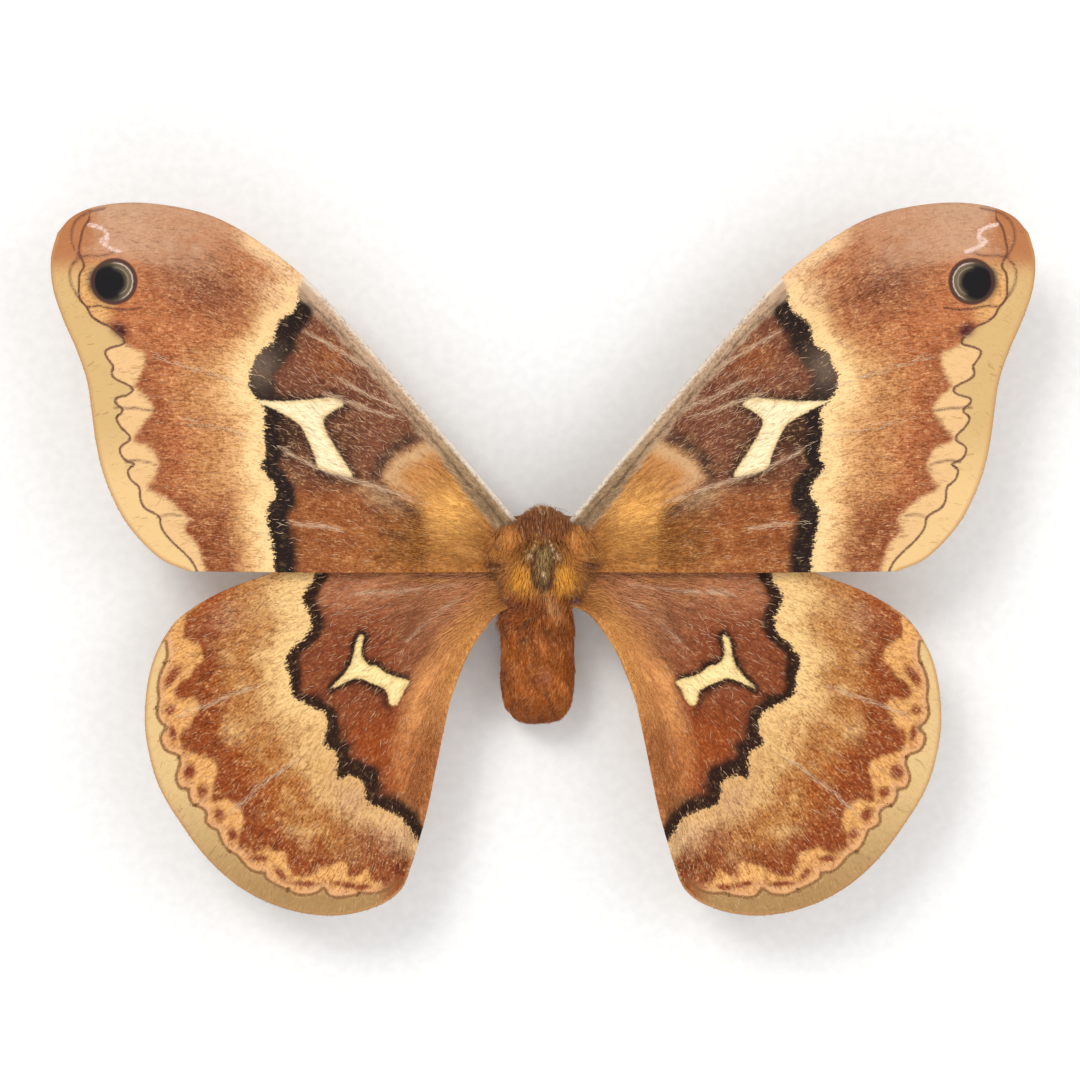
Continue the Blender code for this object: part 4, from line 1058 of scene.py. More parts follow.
def blades(name, centres, right, up, width, shape, values, places, finish):
    """Closed, pointed, three-sided tufts along their centre lines, as one piece."""
    count, stations = centres.shape[:2]
    corners = []
    drift = []
    for ring in range(stations - 1):
        reach = (width * shape[ring])[:, None]
        middle = centres[:, ring]
        corners += [middle - right * reach / 2, middle + right * reach / 2, middle + up * reach * 0.35]
        height = ring / (stations - 1) - 0.5
        drift += [(-0.5, height), (0.5, height), (0.0, height)]
    corners.append(centres[:, -1])
    drift.append((0.0, 0.5))
    points = np.stack(corners, axis=1)
    each = points.shape[1]
    last = each - 4
    quads = []
    for left in range(0, last, 3):
        for a, b in ((left, left + 1), (left + 1, left + 2)):
            quads.append([a, a + 3, b + 3, b])
        quads.append([left, left + 2, left + 5, left + 3])
    tip = each - 1
    triangles = [[1, 2, 0], [last, tip, last + 1], [last + 1, tip, last + 2], [last, last + 2, tip]]
    base = (np.arange(count) * each)[:, None, None]
    faces = [(base + np.array(triangles)[None]).reshape(-1, 3)]
    if quads:
        faces.append((base + np.array(quads)[None]).reshape(-1, 4))
    station = np.minimum(np.arange(each) // 3, stations - 1)
    fields = {}
    for key, value in values.items():
        if value.ndim == (2 if key in VECTORS else 1):
            value = np.repeat(value[:, None], stations, axis=1)
        fields[key] = value[:, station].reshape(-1, *value.shape[2:])
    uv = np.clip(places[:, None] + TUFT_PATCH * np.array(drift)[None], 0.001, 0.999).reshape(-1, 2)
    return new_mesh(name, points.reshape(-1, 3), faces, fields, finish, uv)


def wing_place(x, y, under):
    """A place on the wing's own flat map: the upper face fills one half and the lower face the other."""
    share = np.column_stack([np.abs(x) / MAP_REACH, (y + MAP_REAR) / MAP_DEPTH])
    return share * MAP_HALF + MAP_EDGE + ((0.5, 0.0) if under else (0.0, 0.0))


def wing_grid(kind, side):
    """A wing's grid in space, from root to outer edge and from back to front."""
    flat = patch(kind)
    height = surface(kind, flat[..., 0].ravel(), flat[..., 1].ravel())[0]
    grid = np.dstack([flat[..., 0], flat[..., 1], height.reshape(flat.shape[:2])])
    return grid.transpose(1, 0, 2)


def wing_outline(kind):
    """The free edge of a wing: its front, outer and back lines."""
    wing = WINGS[kind]
    outer = smooth(wing["outer"])[::-1]
    return np.vstack([smooth(wing["front"]), outer, smooth(wing["back"])[::-1]])


def staying(values, calm, stations, rng):
    """Which tufts are clear of the eyespot, and which of them stay, few on thin lines and in calm parts."""
    count = len(calm)
    thin = np.minimum(np.abs(values["scallop"]), np.abs(values["ring"] - RING_RADIUS))
    thin = np.minimum(thin, np.minimum(values["pale"], values["line"])).reshape(count, stations).min(axis=1)
    clear = values["ring"].reshape(count, stations).min(axis=1) > RING_RADIUS + RING_CLEARANCE
    off_line = (thin > LINE_CLEARANCE) | (rng.random(count) < LINE_SHARE)
    return clear, clear & off_line & (~calm | (rng.random(count) < CALM_SHARE))


def settle(kind, side, name, finish, root, way, form, under, rng, colour=None):
    """Scales or hairs on one face of a wing, in the markings that they cross or in one colour."""
    x, y = root.T
    count = len(x)
    up = upward(count)
    way = unit(np.column_stack([way, np.zeros(count)]))
    length, width, lift, swirl = form(x, y, rng)
    way, right = turned(way, up, swirl)
    flat = np.zeros(count)
    length = np.minimum(length, 0.85 * distance(x, y, wing_outline(kind)) + FRINGE)
    shares = HAIR_STATIONS if length.mean() > LONG_HAIR else SCALE_STATIONS
    start = np.column_stack([root, flat])
    lines = centre_lines(start, way, up, right, length, flat, flat, rng.normal(0, 0.12, count), shares)
    stations = len(shares)
    cx, cy = lines[..., 0].ravel(), lines[..., 1].ravel()
    values = WINGS[kind]["fields"](cx, cy)
    calm = values["grain"].reshape(count, stations)[:, 0] < CALM_GRAIN
    lift = lift * np.where(calm, CALM_LIFT, 1.0)
    height, vein = surface(kind, cx, cy)
    ridge = VEIN_RISE * bell(vein, VEIN_WIDTH) * (UNDER_RIDGE if under else 1.0)
    rise = np.stack([lift * share * (1.25 - share) for share in shares], axis=1).ravel() - SCALE_ROOT
    offset = MEMBRANE / 2 + ridge + rise
    lines[..., 2] = (height + offset * (-1 if under else 1)).reshape(count, stations)
    clear, keep = staying(values, calm, stations, rng)
    if colour:
        keep = clear
        values["ground"][:] = LIGHT[colour]
        values["field"][:] = LIGHT[colour]
        values.update({key: np.full(len(cx), FAR) for key in ("scallop", "line", "pale", "ring", "pupil")})
        values.update({"grain": np.full(len(cx), 0.2), "mark": np.full(len(cx), -FAR)})
    values = {key: value.reshape(count, stations, *value.shape[1:])[keep] for key, value in values.items()}
    values["tone"] = tones(rng, count, 0.75)[keep]
    values["under"] = np.full(keep.sum(), 1.0 if under else 0.0)
    values["lie"] = np.column_stack([*(rng.random((2, count)) * LIE_SPREAD), flat])[keep]
    lines = lines * (side, 1, 1)
    up = up * (-1 if under else 1)
    right = np.cross(way * (side, 1, 1), up)
    places = wing_place(x, y, under)
    shape = WING_HAIR_TAPER if stations > 3 else SCALE_TAPER
    return blades(name, lines[keep], right[keep], up[keep], width[keep], shape, values, places[keep], finish)


def wing_tufts(kind, side, name, finish, rng, count, under, form, weight=None, colour=None):
    """Tufts scattered over a face of a wing, which lie from its root to its outer edge."""
    found = scatter(wing_grid(kind, side), count, rng, weight)
    root, way = found["place"][:, :2], found["along"][:, :2]
    return settle(kind, side, name, finish, root, way, form, under, rng, colour)


def wing_rows(kind, side, name, finish, rng, colour, lines, spacing, spread, form):
    """Tufts of one colour in rows along the thin lines of a wing."""
    roots, ways = [], []
    for line in lines:
        curve = smooth(line, 8)
        points = spaced(curve, max(3, int(run_along(curve)[-1] / spacing)))
        roots.append(points + rng.normal(0, spread, points.shape))
        ways.append(np.gradient(points, axis=0))
    roots, ways = np.vstack(roots), np.vstack(ways)
    inside = signed(*roots.T, wing_outline(kind)) > 0.12
    return settle(kind, side, name, finish, roots[inside], ways[inside], form, False, rng, colour)


def scale_form(x, y, rng):
    """Short flat scales, with a few that stand out as fine hairs."""
    hairy = rng.random(len(x)) < 0.1
    length = rng.uniform(0.5, 0.9, len(x)) + hairy * rng.uniform(0.3, 1.0, len(x))
    width = np.where(hairy, 0.05, 0.1) * rng.uniform(0.8, 1.25, len(x))
    lift = np.where(hairy, 0.26, 0.1) * rng.uniform(0.5, 1.3, len(x))
    swirl = rng.normal(0, 0.14, len(x)) + hairy * rng.normal(0, 0.35, len(x))
    return length, width, lift, swirl


def even_form(length, width, lift, swirl):
    """A form whose sizes are drawn evenly between two limits and whose turns gather about 0."""

    def form(x, y, rng):
        sizes = [rng.uniform(*limits, len(x)) for limits in (length, width, lift)]
        return *sizes, rng.normal(0, swirl, len(x))

    return form


# Small scales for a thin line, fine pale hairs for a streak, and pale hairs strewn over the dark inner part.
LINE_FORM = even_form((0.26, 0.4), (0.08, 0.12), (0.06, 0.1), 0.15)
STREAK_FORM = even_form((0.8, 1.7), (0.03, 0.045), (0.16, 0.3), 0.14)
FLECK_FORM = even_form((0.5, 1.5), (0.035, 0.055), (0.2, 0.32), 0.3)


def fleck_weight(middle):
    """Pale hairs are thickest between the front edge and the mark."""
    x, y = middle[..., 0], middle[..., 1]
    fore = np.exp(-(((x - 20) / 6) ** 2) - (((y - 17) / 7) ** 2))
    hind = np.exp(-(((x - 18) / 6) ** 2) - (((y + 4) / 5) ** 2))
    return 0.15 + fore + 0.5 * hind


def fore_hair_form(x, y, rng):
    """Long fine hair over the forewing's root, brushed out along the wing."""
    length = (3.6 - 0.16 * np.minimum(x, 14)) * rng.uniform(0.6, 1.15, len(x))
    swirl = 0.3 * waves(x, y, 1.8, 41) + rng.normal(0, 0.08, len(x))
    return length, 0.09 * rng.uniform(0.8, 1.3, len(x)), rng.uniform(0.25, 0.9, len(x)), swirl


def hind_hair_form(x, y, rng):
    """Long hair over the hindwing's root and down its inner edge."""
    inner = ease(-y, 3, 8)
    length = (3.4 - 1.5 * inner * ease(-y, 10, 26)) * rng.uniform(0.55, 1.1, len(x))
    swirl = 0.3 * waves(x, y, 1.6, 42) + rng.normal(0, 0.1, len(x))
    return length, 0.085 * rng.uniform(0.8, 1.3, len(x)), rng.uniform(0.2, 0.8, len(x)), swirl


def fore_hair_weight(middle):
    """Hair is thick at the forewing's root and gone 16 mm out, and thinner along the front edge."""
    x, y = middle[..., 0], middle[..., 1]
    return ease(x, 1.6, 2.8) * fade(np.hypot(x - 2, y - 1), 5, 17) ** 1.5 + 0.004


def hind_hair_weight(middle):
    """Hair is thick at the hindwing's root and thins down its inner edge."""
    x, y = middle[..., 0], middle[..., 1]
    root = fade(np.hypot(x - 2, y + 2), 5, 16) ** 1.5
    inner = np.interp(-y, [5, 13, 22, 32], [5.4, 9.4, 11.6, 14.0])
    edge = fade(x - inner, 0.3, 3.2) * ease(-y, 3.5, 6.0) * (1 - 0.5 * ease(-y, 16, 34))
    return ease(x, 1.6, 2.8) * np.maximum(root, 0.8 * edge) + 0.003


# For each wing: the form and the density of its long hair, then rows of tufts as an end of a name, a colour,
# the lines that they follow, the space from one to the next, how far they stray, and their form.
COATS = {
    "forewing": {
        "hair": (fore_hair_form, fore_hair_weight),
        "rows": [
            ("lines", "line", FORE_LINES + [FORE_SCALLOPS], 0.11, 0.035, LINE_FORM),
            ("pale", "pink white", FORE_PALE_LINES, 0.04, 0.13, LINE_FORM),
            ("streaks", "hair white", FORE_STREAKS, 0.2, 0.16, STREAK_FORM),
        ],
    },
    "hindwing": {
        "hair": (hind_hair_form, hind_hair_weight),
        "rows": [
            ("lines", "hind line", [HIND_SCALLOPS], 0.045, 0.13, LINE_FORM),
            ("streaks", "hair white", HIND_STREAKS, 0.2, 0.16, STREAK_FORM),
        ],
    },
}


def wing_coats():
    """The scales and hair of the four wings."""
    for kind, coat in COATS.items():
        finish = bpy.data.materials[kind + "_scales"]
        tufts = (
            ("scales", UPPER_SCALES, False, scale_form),
            ("under_scales", UNDER_SCALES, True, scale_form),
            ("hair", WING_HAIRS, False, *coat["hair"]),
            ("under_hair", WING_HAIRS // 4, True, *coat["hair"]),
            ("flecks", FLECKS, False, FLECK_FORM, fleck_weight, "flecks"),
        )
        for side, word in SIDES:
            rng = np.random.default_rng(WINGS[kind]["seed"] + side)
            for make, pieces in ((wing_tufts, tufts), (wing_rows, coat["rows"])):
                for end, *how in pieces:
                    slot(make(kind, side, f"{kind}_{word}_{end}", finish, rng, *how))


def skin_rings():
    """The body's skin, nose to tail: a grid of points that closes under the belly, ringed there."""
    line = smooth(BODY_STATIONS, 12)
    run = np.concatenate([[0], np.cumsum(np.hypot(np.diff(line[:, 0]), np.diff(line[:, 4])))])
    line = spaced(line, SKIN_RINGS, run)
    turns = np.linspace(-np.pi, np.pi, SKIN_SIDES + 1)
    y, x, z, half_width, half_height = (column[:, None] for column in line.T)
    rings = (0.5 + 0.5 * np.cos(2 * np.pi * (y + 5.6) / SEGMENT_LENGTH)) ** 6
    groove = SEGMENT_GROOVE * ease(-y, 5.2, 6.4) * rings * (0.5 - 0.5 * np.cos(turns))
    height = z + (half_height - groove) * np.cos(turns)
    across = x + (half_width - groove) * np.sin(turns)
    return np.dstack([across, y + 0 * turns, np.maximum(height, SKIN_FLOOR)])


def body_colours(place, facing):
    """The colours of the body's coat at each place, from the way that it faces."""
    x, y, z = place.T
    wide = waves(x + 0.3 * z, y, 1.4, 31)
    fine = waves(x, y + 0.6 * z, 0.45, 32)
    drift = 0.6 * wide + 0.4 * fine
    top = ease(facing, -0.1, 0.35)
    out = np.abs(x)
    speckled = 0.55 + 0.7 * waves(1.3 * x, y, 0.35, 34)
    edge = np.interp(y, [1.2, 2.4, 3.4, 4.4], [1.0, 2.1, 2.8, 3.9])
    rear = ease(-y + 0.3 * drift, 3.7, 4.4)
    wisp = 0.75 * waves(1.6 * x + 0.5 * y, 0.6 * y - 0.4 * z, 0.8, 33) + 0.35 * drift
    return paint(
        LIGHT["side hair"],
        ("side dark", 0.42 + 0.4 * drift),
        ("side olive", 0.3 * ease(-y, 0.6, 2.0) * ease(out, 3.2, 4.4) * (0.7 + 0.5 * fine)),
        ("side hair", ease(out, 3.5, 4.5) * ease(y, -0.4, 0.6) * fade(y, 3.2, 4.0)),
        ("low gold", 0.75 * ease(out, 3.8, 4.9) * ease(y, 0.2, 1.4)),
        ("side tan", ease(out, 4.0, 5.0) * ease(-y, 1.0, 2.0) * (0.5 - 0.5 * fine)),
        ("side brown", 1.2 * blob(out, y, (5.2, -0.6), (1.4, 0.7))),
        ("gold fur", top * 1.7 * blob(out, y, (2.35, -2.2), (1.15, 1.7))),
        ("side brown", top * ease(blob(x, y, (0, -0.8), (1.7, 3.4)) + 0.1 * drift, 0.3, 0.5)),
        ("dark fur", top * 0.4 * blob(out, y, (1.2, 0.9), (1.4, 1.5), -20)),
        ("dark fur", top * 0.5 * blob(x, y, (0, -2.4), (1.0, 0.8))),
        ("grey fur", top * speckled * np.minimum(1, 1.4 * blob(x, y, (0, -0.2), (0.75, 2.9)))),
        ("grey fur", 0.6 * top * speckled * blob(out, y, (1.0, 0.4), (1.1, 0.8))),
        ("collar", ease(y + 0.3 * drift, 1.7, 2.6) * ease(edge - out + 0.3 * drift, -0.35, 0.35)),
        ("dark fur", 0.4 * ease(y, 2.4, 3.4) * fade(y, 4.4, 5.6) * (0.6 + drift)),
        ("side hair", 0.55 * ease(y + 0.4 * out, 5.4, 6.1) * ease(z, 9.0, 10.0)),
        *(("dark fur", top * blob(x, y, spot, DARK_SPOT_RADII)) for spot in DARK_FUR_SPOTS),
        ("abdomen fur", rear),
        ("abdomen dark", 0.85 * rear * ease(wisp, -0.05, 0.6)),
        ("abdomen light", rear * 0.6 * ease(-wisp, 0.1, 0.7)),
        ("fluff", 0.9 * blob(x, y, (-4.0, -4.9), (2.4, 1.4))),
        ("purple fluff", blob(x, y, (3.5, -4.3), (0.8, 1.0))),
        ("pale tuft", 1.7 * blob(x, y, (1.2, -5.4), (0.7, 1.4), 28)),
        # painted shadows of small tufts in the abdomen's fur, in the colour of dark fur
        *(("dark fur", 0.75 * top * blob(x, y, *shadow)) for shadow in ABDOMEN_SHADOWS),
        ("pink fur", 0.6 * top * blob(x, y, (0.2, -12.6), (1.0, 0.8))),
        ("head fur", ease(y, 3.6, 4.4) * ease(8.2 - z, 0, 0.8)),
        ("belly fur", 0.6 * fade(facing, -0.9, -0.2)),
    )


def coat_finish():
    """Soft fur in the colours of its roots, streaked along each hair."""
    g = Graph("fur")
    place = g.place()
    streak = g.noise(g.scaled(place, (5, 1.6, 5)), 1.0, 3.0, 0.65)
    speck = g.math("MULTIPLY_ADD", g.attribute("tone"), 0.07, g.math("SUBTRACT", streak, 0.5))
    colour = g.attribute("coat", "Color")
    colour = g.mix(g.ramp(speck, 0.0, 0.2, 0.0, 0.7), colour, (0.4, 0.25, 0.17, 1), "MULTIPLY")
    colour = g.mix(g.ramp(speck, -0.02, -0.22, 0.0, 0.4), colour, rgba("hair light"))
    g.bump(speck, 0.05, 0.5)
    return g.finish(colour, 0.6, 0.06, 0.16)


def body_skin(finish):
    """One skin from the face to the tail's tip, under the coat."""
    grid = skin_rings()
    points, faces = tube_parts(grid)
    ring = grid[:, :-1]
    along = np.gradient(ring, axis=0)
    around = (np.roll(ring, -1, axis=1) - np.roll(ring, 1, axis=1)) / 2
    facing = unit(np.cross(along, around).reshape(-1, 3), 1e-9)[:, 2]
    values = {"coat": body_colours(points, facing), "tone": np.zeros(len(points))}
    return new_mesh("body_skin", points, faces, values, finish)


def fur(name, count, rng, weight, form, finish, stations):
    """Tufts over a part of the body, in clumps that lie back along it."""
    found = scatter(skin_rings(), count, rng, weight)
    root, up = found["place"], found["normal"]
    x, y, z = root.T
    length, width, lift, bend, fan = form(x, y, z, up[:, 2], rng)
    way, right = turned(found["along"], up, fan)
    swing = rng.normal(0, 0.1, count)
    sunk = root - up * SUNK
    lines = centre_lines(sunk, way, up, right, length, lift, bend, swing, stations)
    lines[..., 2] = np.maximum(lines[..., 2], COAT_FLOOR)
    values = {"coat": coats_along(lines, up[:, 2]), "tone": tones(rng, count)}
    places = found["shares"] * MAP_WHOLE + MAP_EDGE
    return blades(name, lines, right, up, width, HAIR_TAPER[: len(stations) - 1], values, places, finish)


def clump(x, y, z, size, seed):
    """A value that neighbouring hairs share, so that they gather."""
    return waves(x + 0.4 * z, y - 0.3 * z, size, seed)


def thorax_form(x, y, z, facing, rng):
    """Soft hair that lies back over the thorax, shortest along its middle."""
    middle = fade(np.abs(x), 1.4, 2.6) * ease(y, -3.0, -2.2)
    length = rng.uniform(1.3, 2.3, len(x)) * (1 - 0.42 * middle) * (1 - 0.2 * ease(-facing, 0, 0.6))
    lift = rng.uniform(0.4, 1.15, len(x)) + 0.3 * clump(x, y, z, 0.7, 52)
    bend = lift * rng.uniform(0.45, 0.8, len(x))
    side = np.sign(x) * ease(np.abs(x), 0.4, 3.4)
    fan = -0.2 * side + 0.4 * clump(x, y, z, 0.8, 51) + rng.normal(0, 0.1, len(x))
    return length, rng.uniform(0.07, 0.12, len(x)), lift, bend, fan


def abdomen_form(x, y, z, facing, rng):
    """Short fur that lies along the abdomen in whorls, longer, tousled and spread at its base."""
    base = fade(-y, 4.5, 8.0)
    length = rng.uniform(0.8, 1.5, len(x)) * (1 + 0.9 * base)
    lift = rng.uniform(0.14, 0.36, len(x)) + 0.16 * clump(x, y, z, 0.8, 63) + 0.3 * base
    lift = lift + 0.7 * blob(x, y, (-3.3, -5.2), (1.2, 1.3))
    bend = lift * rng.uniform(0.7, 1.0, len(x))
    fan = 0.95 * clump(x, y, z, 1.9, 61) + 0.6 * clump(x, y, z, 0.6, 62) + rng.normal(0, 0.14, len(x))
    return length, rng.uniform(0.07, 0.11, len(x)), lift, bend, fan - 0.6 * base * np.clip(x / 2.5, -1, 1)


def head_form(x, y, z, facing, rng):
    """The face's short dense hair."""
    length = rng.uniform(0.45, 0.85, len(x))
    lift = rng.uniform(0.3, 0.8, len(x))
    fan = 0.5 * clump(x, y, z, 0.5, 71) + rng.normal(0, 0.15, len(x))
    return length, rng.uniform(0.05, 0.08, len(x)), lift, lift * 0.6, fan


def thorax_weight(middle):
    """The thorax's coat reaches from the neck to the waist."""
    y = middle[..., 1]
    return ease(-y, -3.6, -2.8) * fade(-y, 3.6, 4.6)


def abdomen_weight(middle):
    """The abdomen's coat is thick behind the waist, and thin where it meets the floor."""
    y, z = middle[..., 1], middle[..., 2]
    return ease(-y, 3.6, 4.8) * ease(z, 0.1, 0.6) + 0.02


def head_weight(middle):
    """The head's coat starts under the collar."""
    y = middle[..., 1]
    return ease(y, 2.9, 3.4)


def collar(name, finish, rng):
    """The collar: hair that leans forward and out over the head and shoulders to a low gable."""
    count = COLLAR_HAIRS
    turn = rng.uniform(-1, 1, count) * math.radians(COLLAR_TURN)
    level = rng.random(count)
    depth = 1 - 0.36 * level
    x = COLLAR_RADIUS * depth * np.sin(turn)
    z = COLLAR_LEVEL + 3.1 * depth * np.cos(turn) + 0.5 * np.abs(np.sin(turn))
    y = 1.9 + 1.5 * level + 0.35 * clump(x, 0 * x, z, 0.6, 83) + rng.normal(0, 0.25, count)
    y = y - 0.7 * ease(np.abs(x), 1.6, 3.2)
    root = np.column_stack([x, y, z])
    outward = np.column_stack([np.sin(turn), np.zeros(count), np.cos(turn)])
    way = unit(np.column_stack([0.34 * np.sin(turn), np.ones(count), 0.02 * np.ones(count)]))
    up = unit(outward - way * (outward * way).sum(1)[:, None])
    fan = 0.22 * clump(x, y, z, 0.7, 81) + rng.normal(0, 0.1, count)
    way, right = turned(way, up, fan)
    front = np.interp(np.abs(x) * 1.15, *np.array(COLLAR_FRONT).T)
    length = np.maximum(0.6, (front - y) * rng.uniform(0.6, 1.04, count))
    lift = rng.uniform(0.12, 0.4, count) * (1 - 0.5 * level)
    swing = rng.normal(0, 0.08, count)
    lines = centre_lines(root, way, up, right, length, lift, lift * 1.2, swing, HAIR_STATIONS)
    values = {"coat": coats_along(lines), "tone": tones(rng, count)}
    places = np.column_stack([0.05 + 0.06 * level, 0.5 + turn / (2 * np.pi)])
    return blades(name, lines, right, up, rng.uniform(0.08, 0.13, count), HAIR_TAPER, values, places, finish)


def coats_along(lines, facing=None):
    """The coat's colours where each hair's stations lie. Without a facing, they are seen from above."""
    flat = lines.reshape(-1, 3)
    facing = np.ones(len(flat)) if facing is None else np.repeat(facing, lines.shape[1])
    return body_colours(flat, facing).reshape(lines.shape)


def wing_top(x, y):
    """Height of the uppermost wing surface near the body."""
    fore = surface("forewing", np.abs(x), y)[0]
    hind = surface("hindwing", np.abs(x), y)[0]
    return np.where(y > FORE_HEEL_Y, fore, hind) + MEMBRANE / 2 + VEIN_RISE


def mantle_weight(middle):
    """The mantle grows from the upper sides of the thorax, above the wings."""
    x, y, z = middle[..., 0], middle[..., 1], middle[..., 2]
    return ease(np.abs(x), 1.6, 2.4) * ease(z, 9.4, 10.2) * ease(y, -3.6, -2.8) * ease(-y, -3.4, -2.6)


def laid_out(name, finish, rng, root, side, turn, length, arch, swing, places):
    """Long hair that lies out from the thorax over the wing roots."""
    count = len(root)
    way = np.column_stack([side * np.sin(turn), -np.cos(turn), np.zeros(count)])
    up = upward(count)
    right = np.cross(way, up)
    flat = np.zeros(count)
    lines = centre_lines(root, way, up, right, length, flat, flat, swing, HAIR_STATIONS)
    share = np.array(HAIR_STATIONS)
    wing = wing_top(lines[..., 0].ravel(), lines[..., 1].ravel()).reshape(count, -1)
    rest = wing + rng.uniform(0.02, 0.3, count)[:, None]
    arched = root[:, 2:] * (1 - share) + rest * share + arch[:, None] * share * (1 - share)
    lines[..., 2] = np.maximum(arched, wing)
    values = {"coat": coats_along(lines), "tone": tones(rng, count)}
    return blades(name, lines, right, up, rng.uniform(0.07, 0.11, count), HAIR_TAPER, values, places, finish)


def mantle(name, finish, rng):
    """The mantle: hair that runs back down the sides of the thorax and flares out over the wing roots."""
    count = MANTLE_HAIRS
    found = scatter(skin_rings(), count, rng, mantle_weight)
    x, y, z = found["place"].T
    side = np.sign(x)
    flare = ease(-y, -2.0, -0.7) * (1 - 0.75 * ease(-y, -0.4, 1.2))
    turn = 0.25 + 0.85 * flare + 0.3 * clump(x, y, z, 0.9, 91) + rng.normal(0, 0.14, count)
    length = (1.9 + 1.5 * flare) * rng.uniform(0.3, 1.15, count)
    swing = -0.16 * side + rng.normal(0, 0.08, count)
    places = found["shares"] * MAP_WHOLE + MAP_EDGE
    arch = rng.uniform(0.4, 1.2, count)
    return laid_out(name, finish, rng, found["place"], side, turn, length, arch, swing, places)


def tippets(name, finish, rng):
    """The tippets: domed pads of hair that lie back over the front corners of the wing roots."""
    count = TIPPET_HAIRS
    side = np.where(rng.random(count) < 0.5, -1.0, 1.0)
    turn, reach = rng.uniform(-np.pi, np.pi, count), np.minimum(np.abs(rng.normal(0, 0.75, count)), 1.7)
    out, ahead = reach * np.cos(turn), reach * np.sin(turn)
    ahead = np.where(ahead > 0.6, -ahead, ahead)
    x = TIPPET[0] + TIPPET_RADII[0] * out - 0.3 * ahead
    y = TIPPET[1] + TIPPET_RADII[1] * ahead
    z = wing_top(x, y) + TIPPET_HEIGHT * np.exp(-1.5 * reach**2)
    heading = 0.12 + 0.55 * ease(out, -0.6, 1.4) + 0.24 * clump(x, y, z, 0.6, 95) + rng.normal(0, 0.1, count)
    length = rng.uniform(1.1, 3.4, count)
    root = np.column_stack([side * x, y, z])
    places = np.column_stack([0.2 + 0.03 * ahead, 0.5 + side * (0.12 + 0.03 * out)])
    swing = 0.14 * side + rng.normal(0, 0.08, count)
    arch = rng.uniform(0.2, 0.6, count)
    return laid_out(name, finish, rng, root, side, heading, length, arch, swing, places)


def coat_marks(name, finish, rng, coats):
    """The thorax's small pale marks: short hairs on top of the coat."""
    x, y = [], []
    for cx, cy, size in PALE_FUR_SPOTS:
        count = int(MARK_HAIRS * size)
        for side in (-1, 1):
            x.append(side * (cx + rng.normal(0, size * 0.5, count)))
            y.append(cy + 0.15 + rng.normal(0, size * 0.6, count))
    collar_line = spaced(np.array(COLLAR_LINE), MARK_HAIRS // 5)
    for side in (-1, 1):
        x.append(side * collar_line[:, 0] + rng.normal(0, 0.03, len(collar_line)))
        y.append(collar_line[:, 1] + rng.normal(0, 0.05, len(collar_line)))
    x, y = np.concatenate(x), np.concatenate(y)
    points = np.array([point.co for coat in coats for point in coat.data.vertices]) / MM
    near = [points[np.hypot(points[:, 0] - cx, points[:, 1] - cy) < 0.25, 2] for cx, cy in zip(x, y)]
    z = np.array([np.percentile(heights, 92) for heights in near])
    count = len(x)
    root = np.column_stack([x, y, z])
    up = upward(count)
    ahead = np.where(y > 4, 1.0, -1.0)
    way = np.column_stack([np.sign(x) * 0.25, ahead, -0.12 * np.ones(count)])
    way, right = turned(unit(way), up, rng.normal(0, 0.3, count))
    length, flat = rng.uniform(0.3, 0.55, count), np.zeros(count)
    lines = centre_lines(root, way, up, right, length, flat + 0.2, flat + 0.3, flat, SCALE_STATIONS)
    values = {"coat": np.tile(LIGHT["pale fur"], (count, 1)), "tone": rng.normal(0, 0.5, count)}
    places = np.column_stack([0.3 - 0.02 * y, 0.5 + 0.02 * x])
    width = rng.uniform(0.05, 0.075, count)
    return blades(name, lines, right, up, width, HAIR_TAPER[:2], values, places, finish)


def body():
    """The skin and its coat."""
    finish = coat_finish()
    skin = slot(body_skin(finish))
    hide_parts("thorax", "abdomen", "head")
    rng = np.random.default_rng(BODY_SEED)
    thorax = fur("thorax_coat", THORAX_HAIRS, rng, thorax_weight, thorax_form, finish, HAIR_STATIONS)
    slot(thorax)
    abdomen = fur("abdomen_coat", ABDOMEN_HAIRS, rng, abdomen_weight, abdomen_form, finish, HAIR_STATIONS)
    slot(abdomen)
    slot(fur("head_coat", HEAD_HAIRS, rng, head_weight, head_form, finish, SCALE_STATIONS))
    shoulders = slot(collar("collar_coat", finish, rng))
    slot(mantle("mantle_coat", finish, rng))
    slot(tippets("tippet_coat", finish, rng))
    slot(coat_marks("coat_marks", finish, rng, (thorax, shoulders)))


def tube_grid(path, radii, sides, up=(0.0, 0.0, 1.0)):
    """Rings of points round a path, which start and end below it."""
    tangent = unit(np.gradient(path, axis=0))
    above = unit(np.array(up) - tangent * (tangent @ np.array(up))[:, None])
    beside = np.cross(above, tangent)
    turns = np.linspace(-np.pi, np.pi, sides + 1)[None, :, None]
    ring = np.cos(turns) * above[:, None] + np.sin(turns) * beside[:, None]
    return path[:, None] + radii[:, None, None] * ring


def tube_parts(grid):
    """The points and faces of a closed tube from its grid of rings."""
    count = grid.shape[1] - 1
    index = np.arange(grid.shape[0] * count).reshape(-1, count)
    after = np.roll(index, -1, axis=1)
    sides = np.stack([index[:-1], index[1:], after[1:], after[:-1]], axis=-1).reshape(-1, 4)
    return grid[:, :-1].reshape(-1, 3), [sides, index[:1], index[-1:, ::-1]]


def joined_tubes(name, grids, colours, finish):
    """Several closed tubes as one piece, each with a colour for every ring."""
    points, quads, caps, coats = [], [], [], []
    start = 0
    for grid, colour in zip(grids, colours):
        made, (sides, first, last) = tube_parts(grid)
        points.append(made)
        quads.append(sides + start)
        caps += [first + start, last + start]
        coats.append(np.repeat(colour, grid.shape[1] - 1, axis=0))
        start += len(made)
    values = {"coat": np.vstack(coats), "tone": np.zeros(start)}
    return new_mesh(name, np.vstack(points), [np.vstack(quads)] + caps, values, finish)


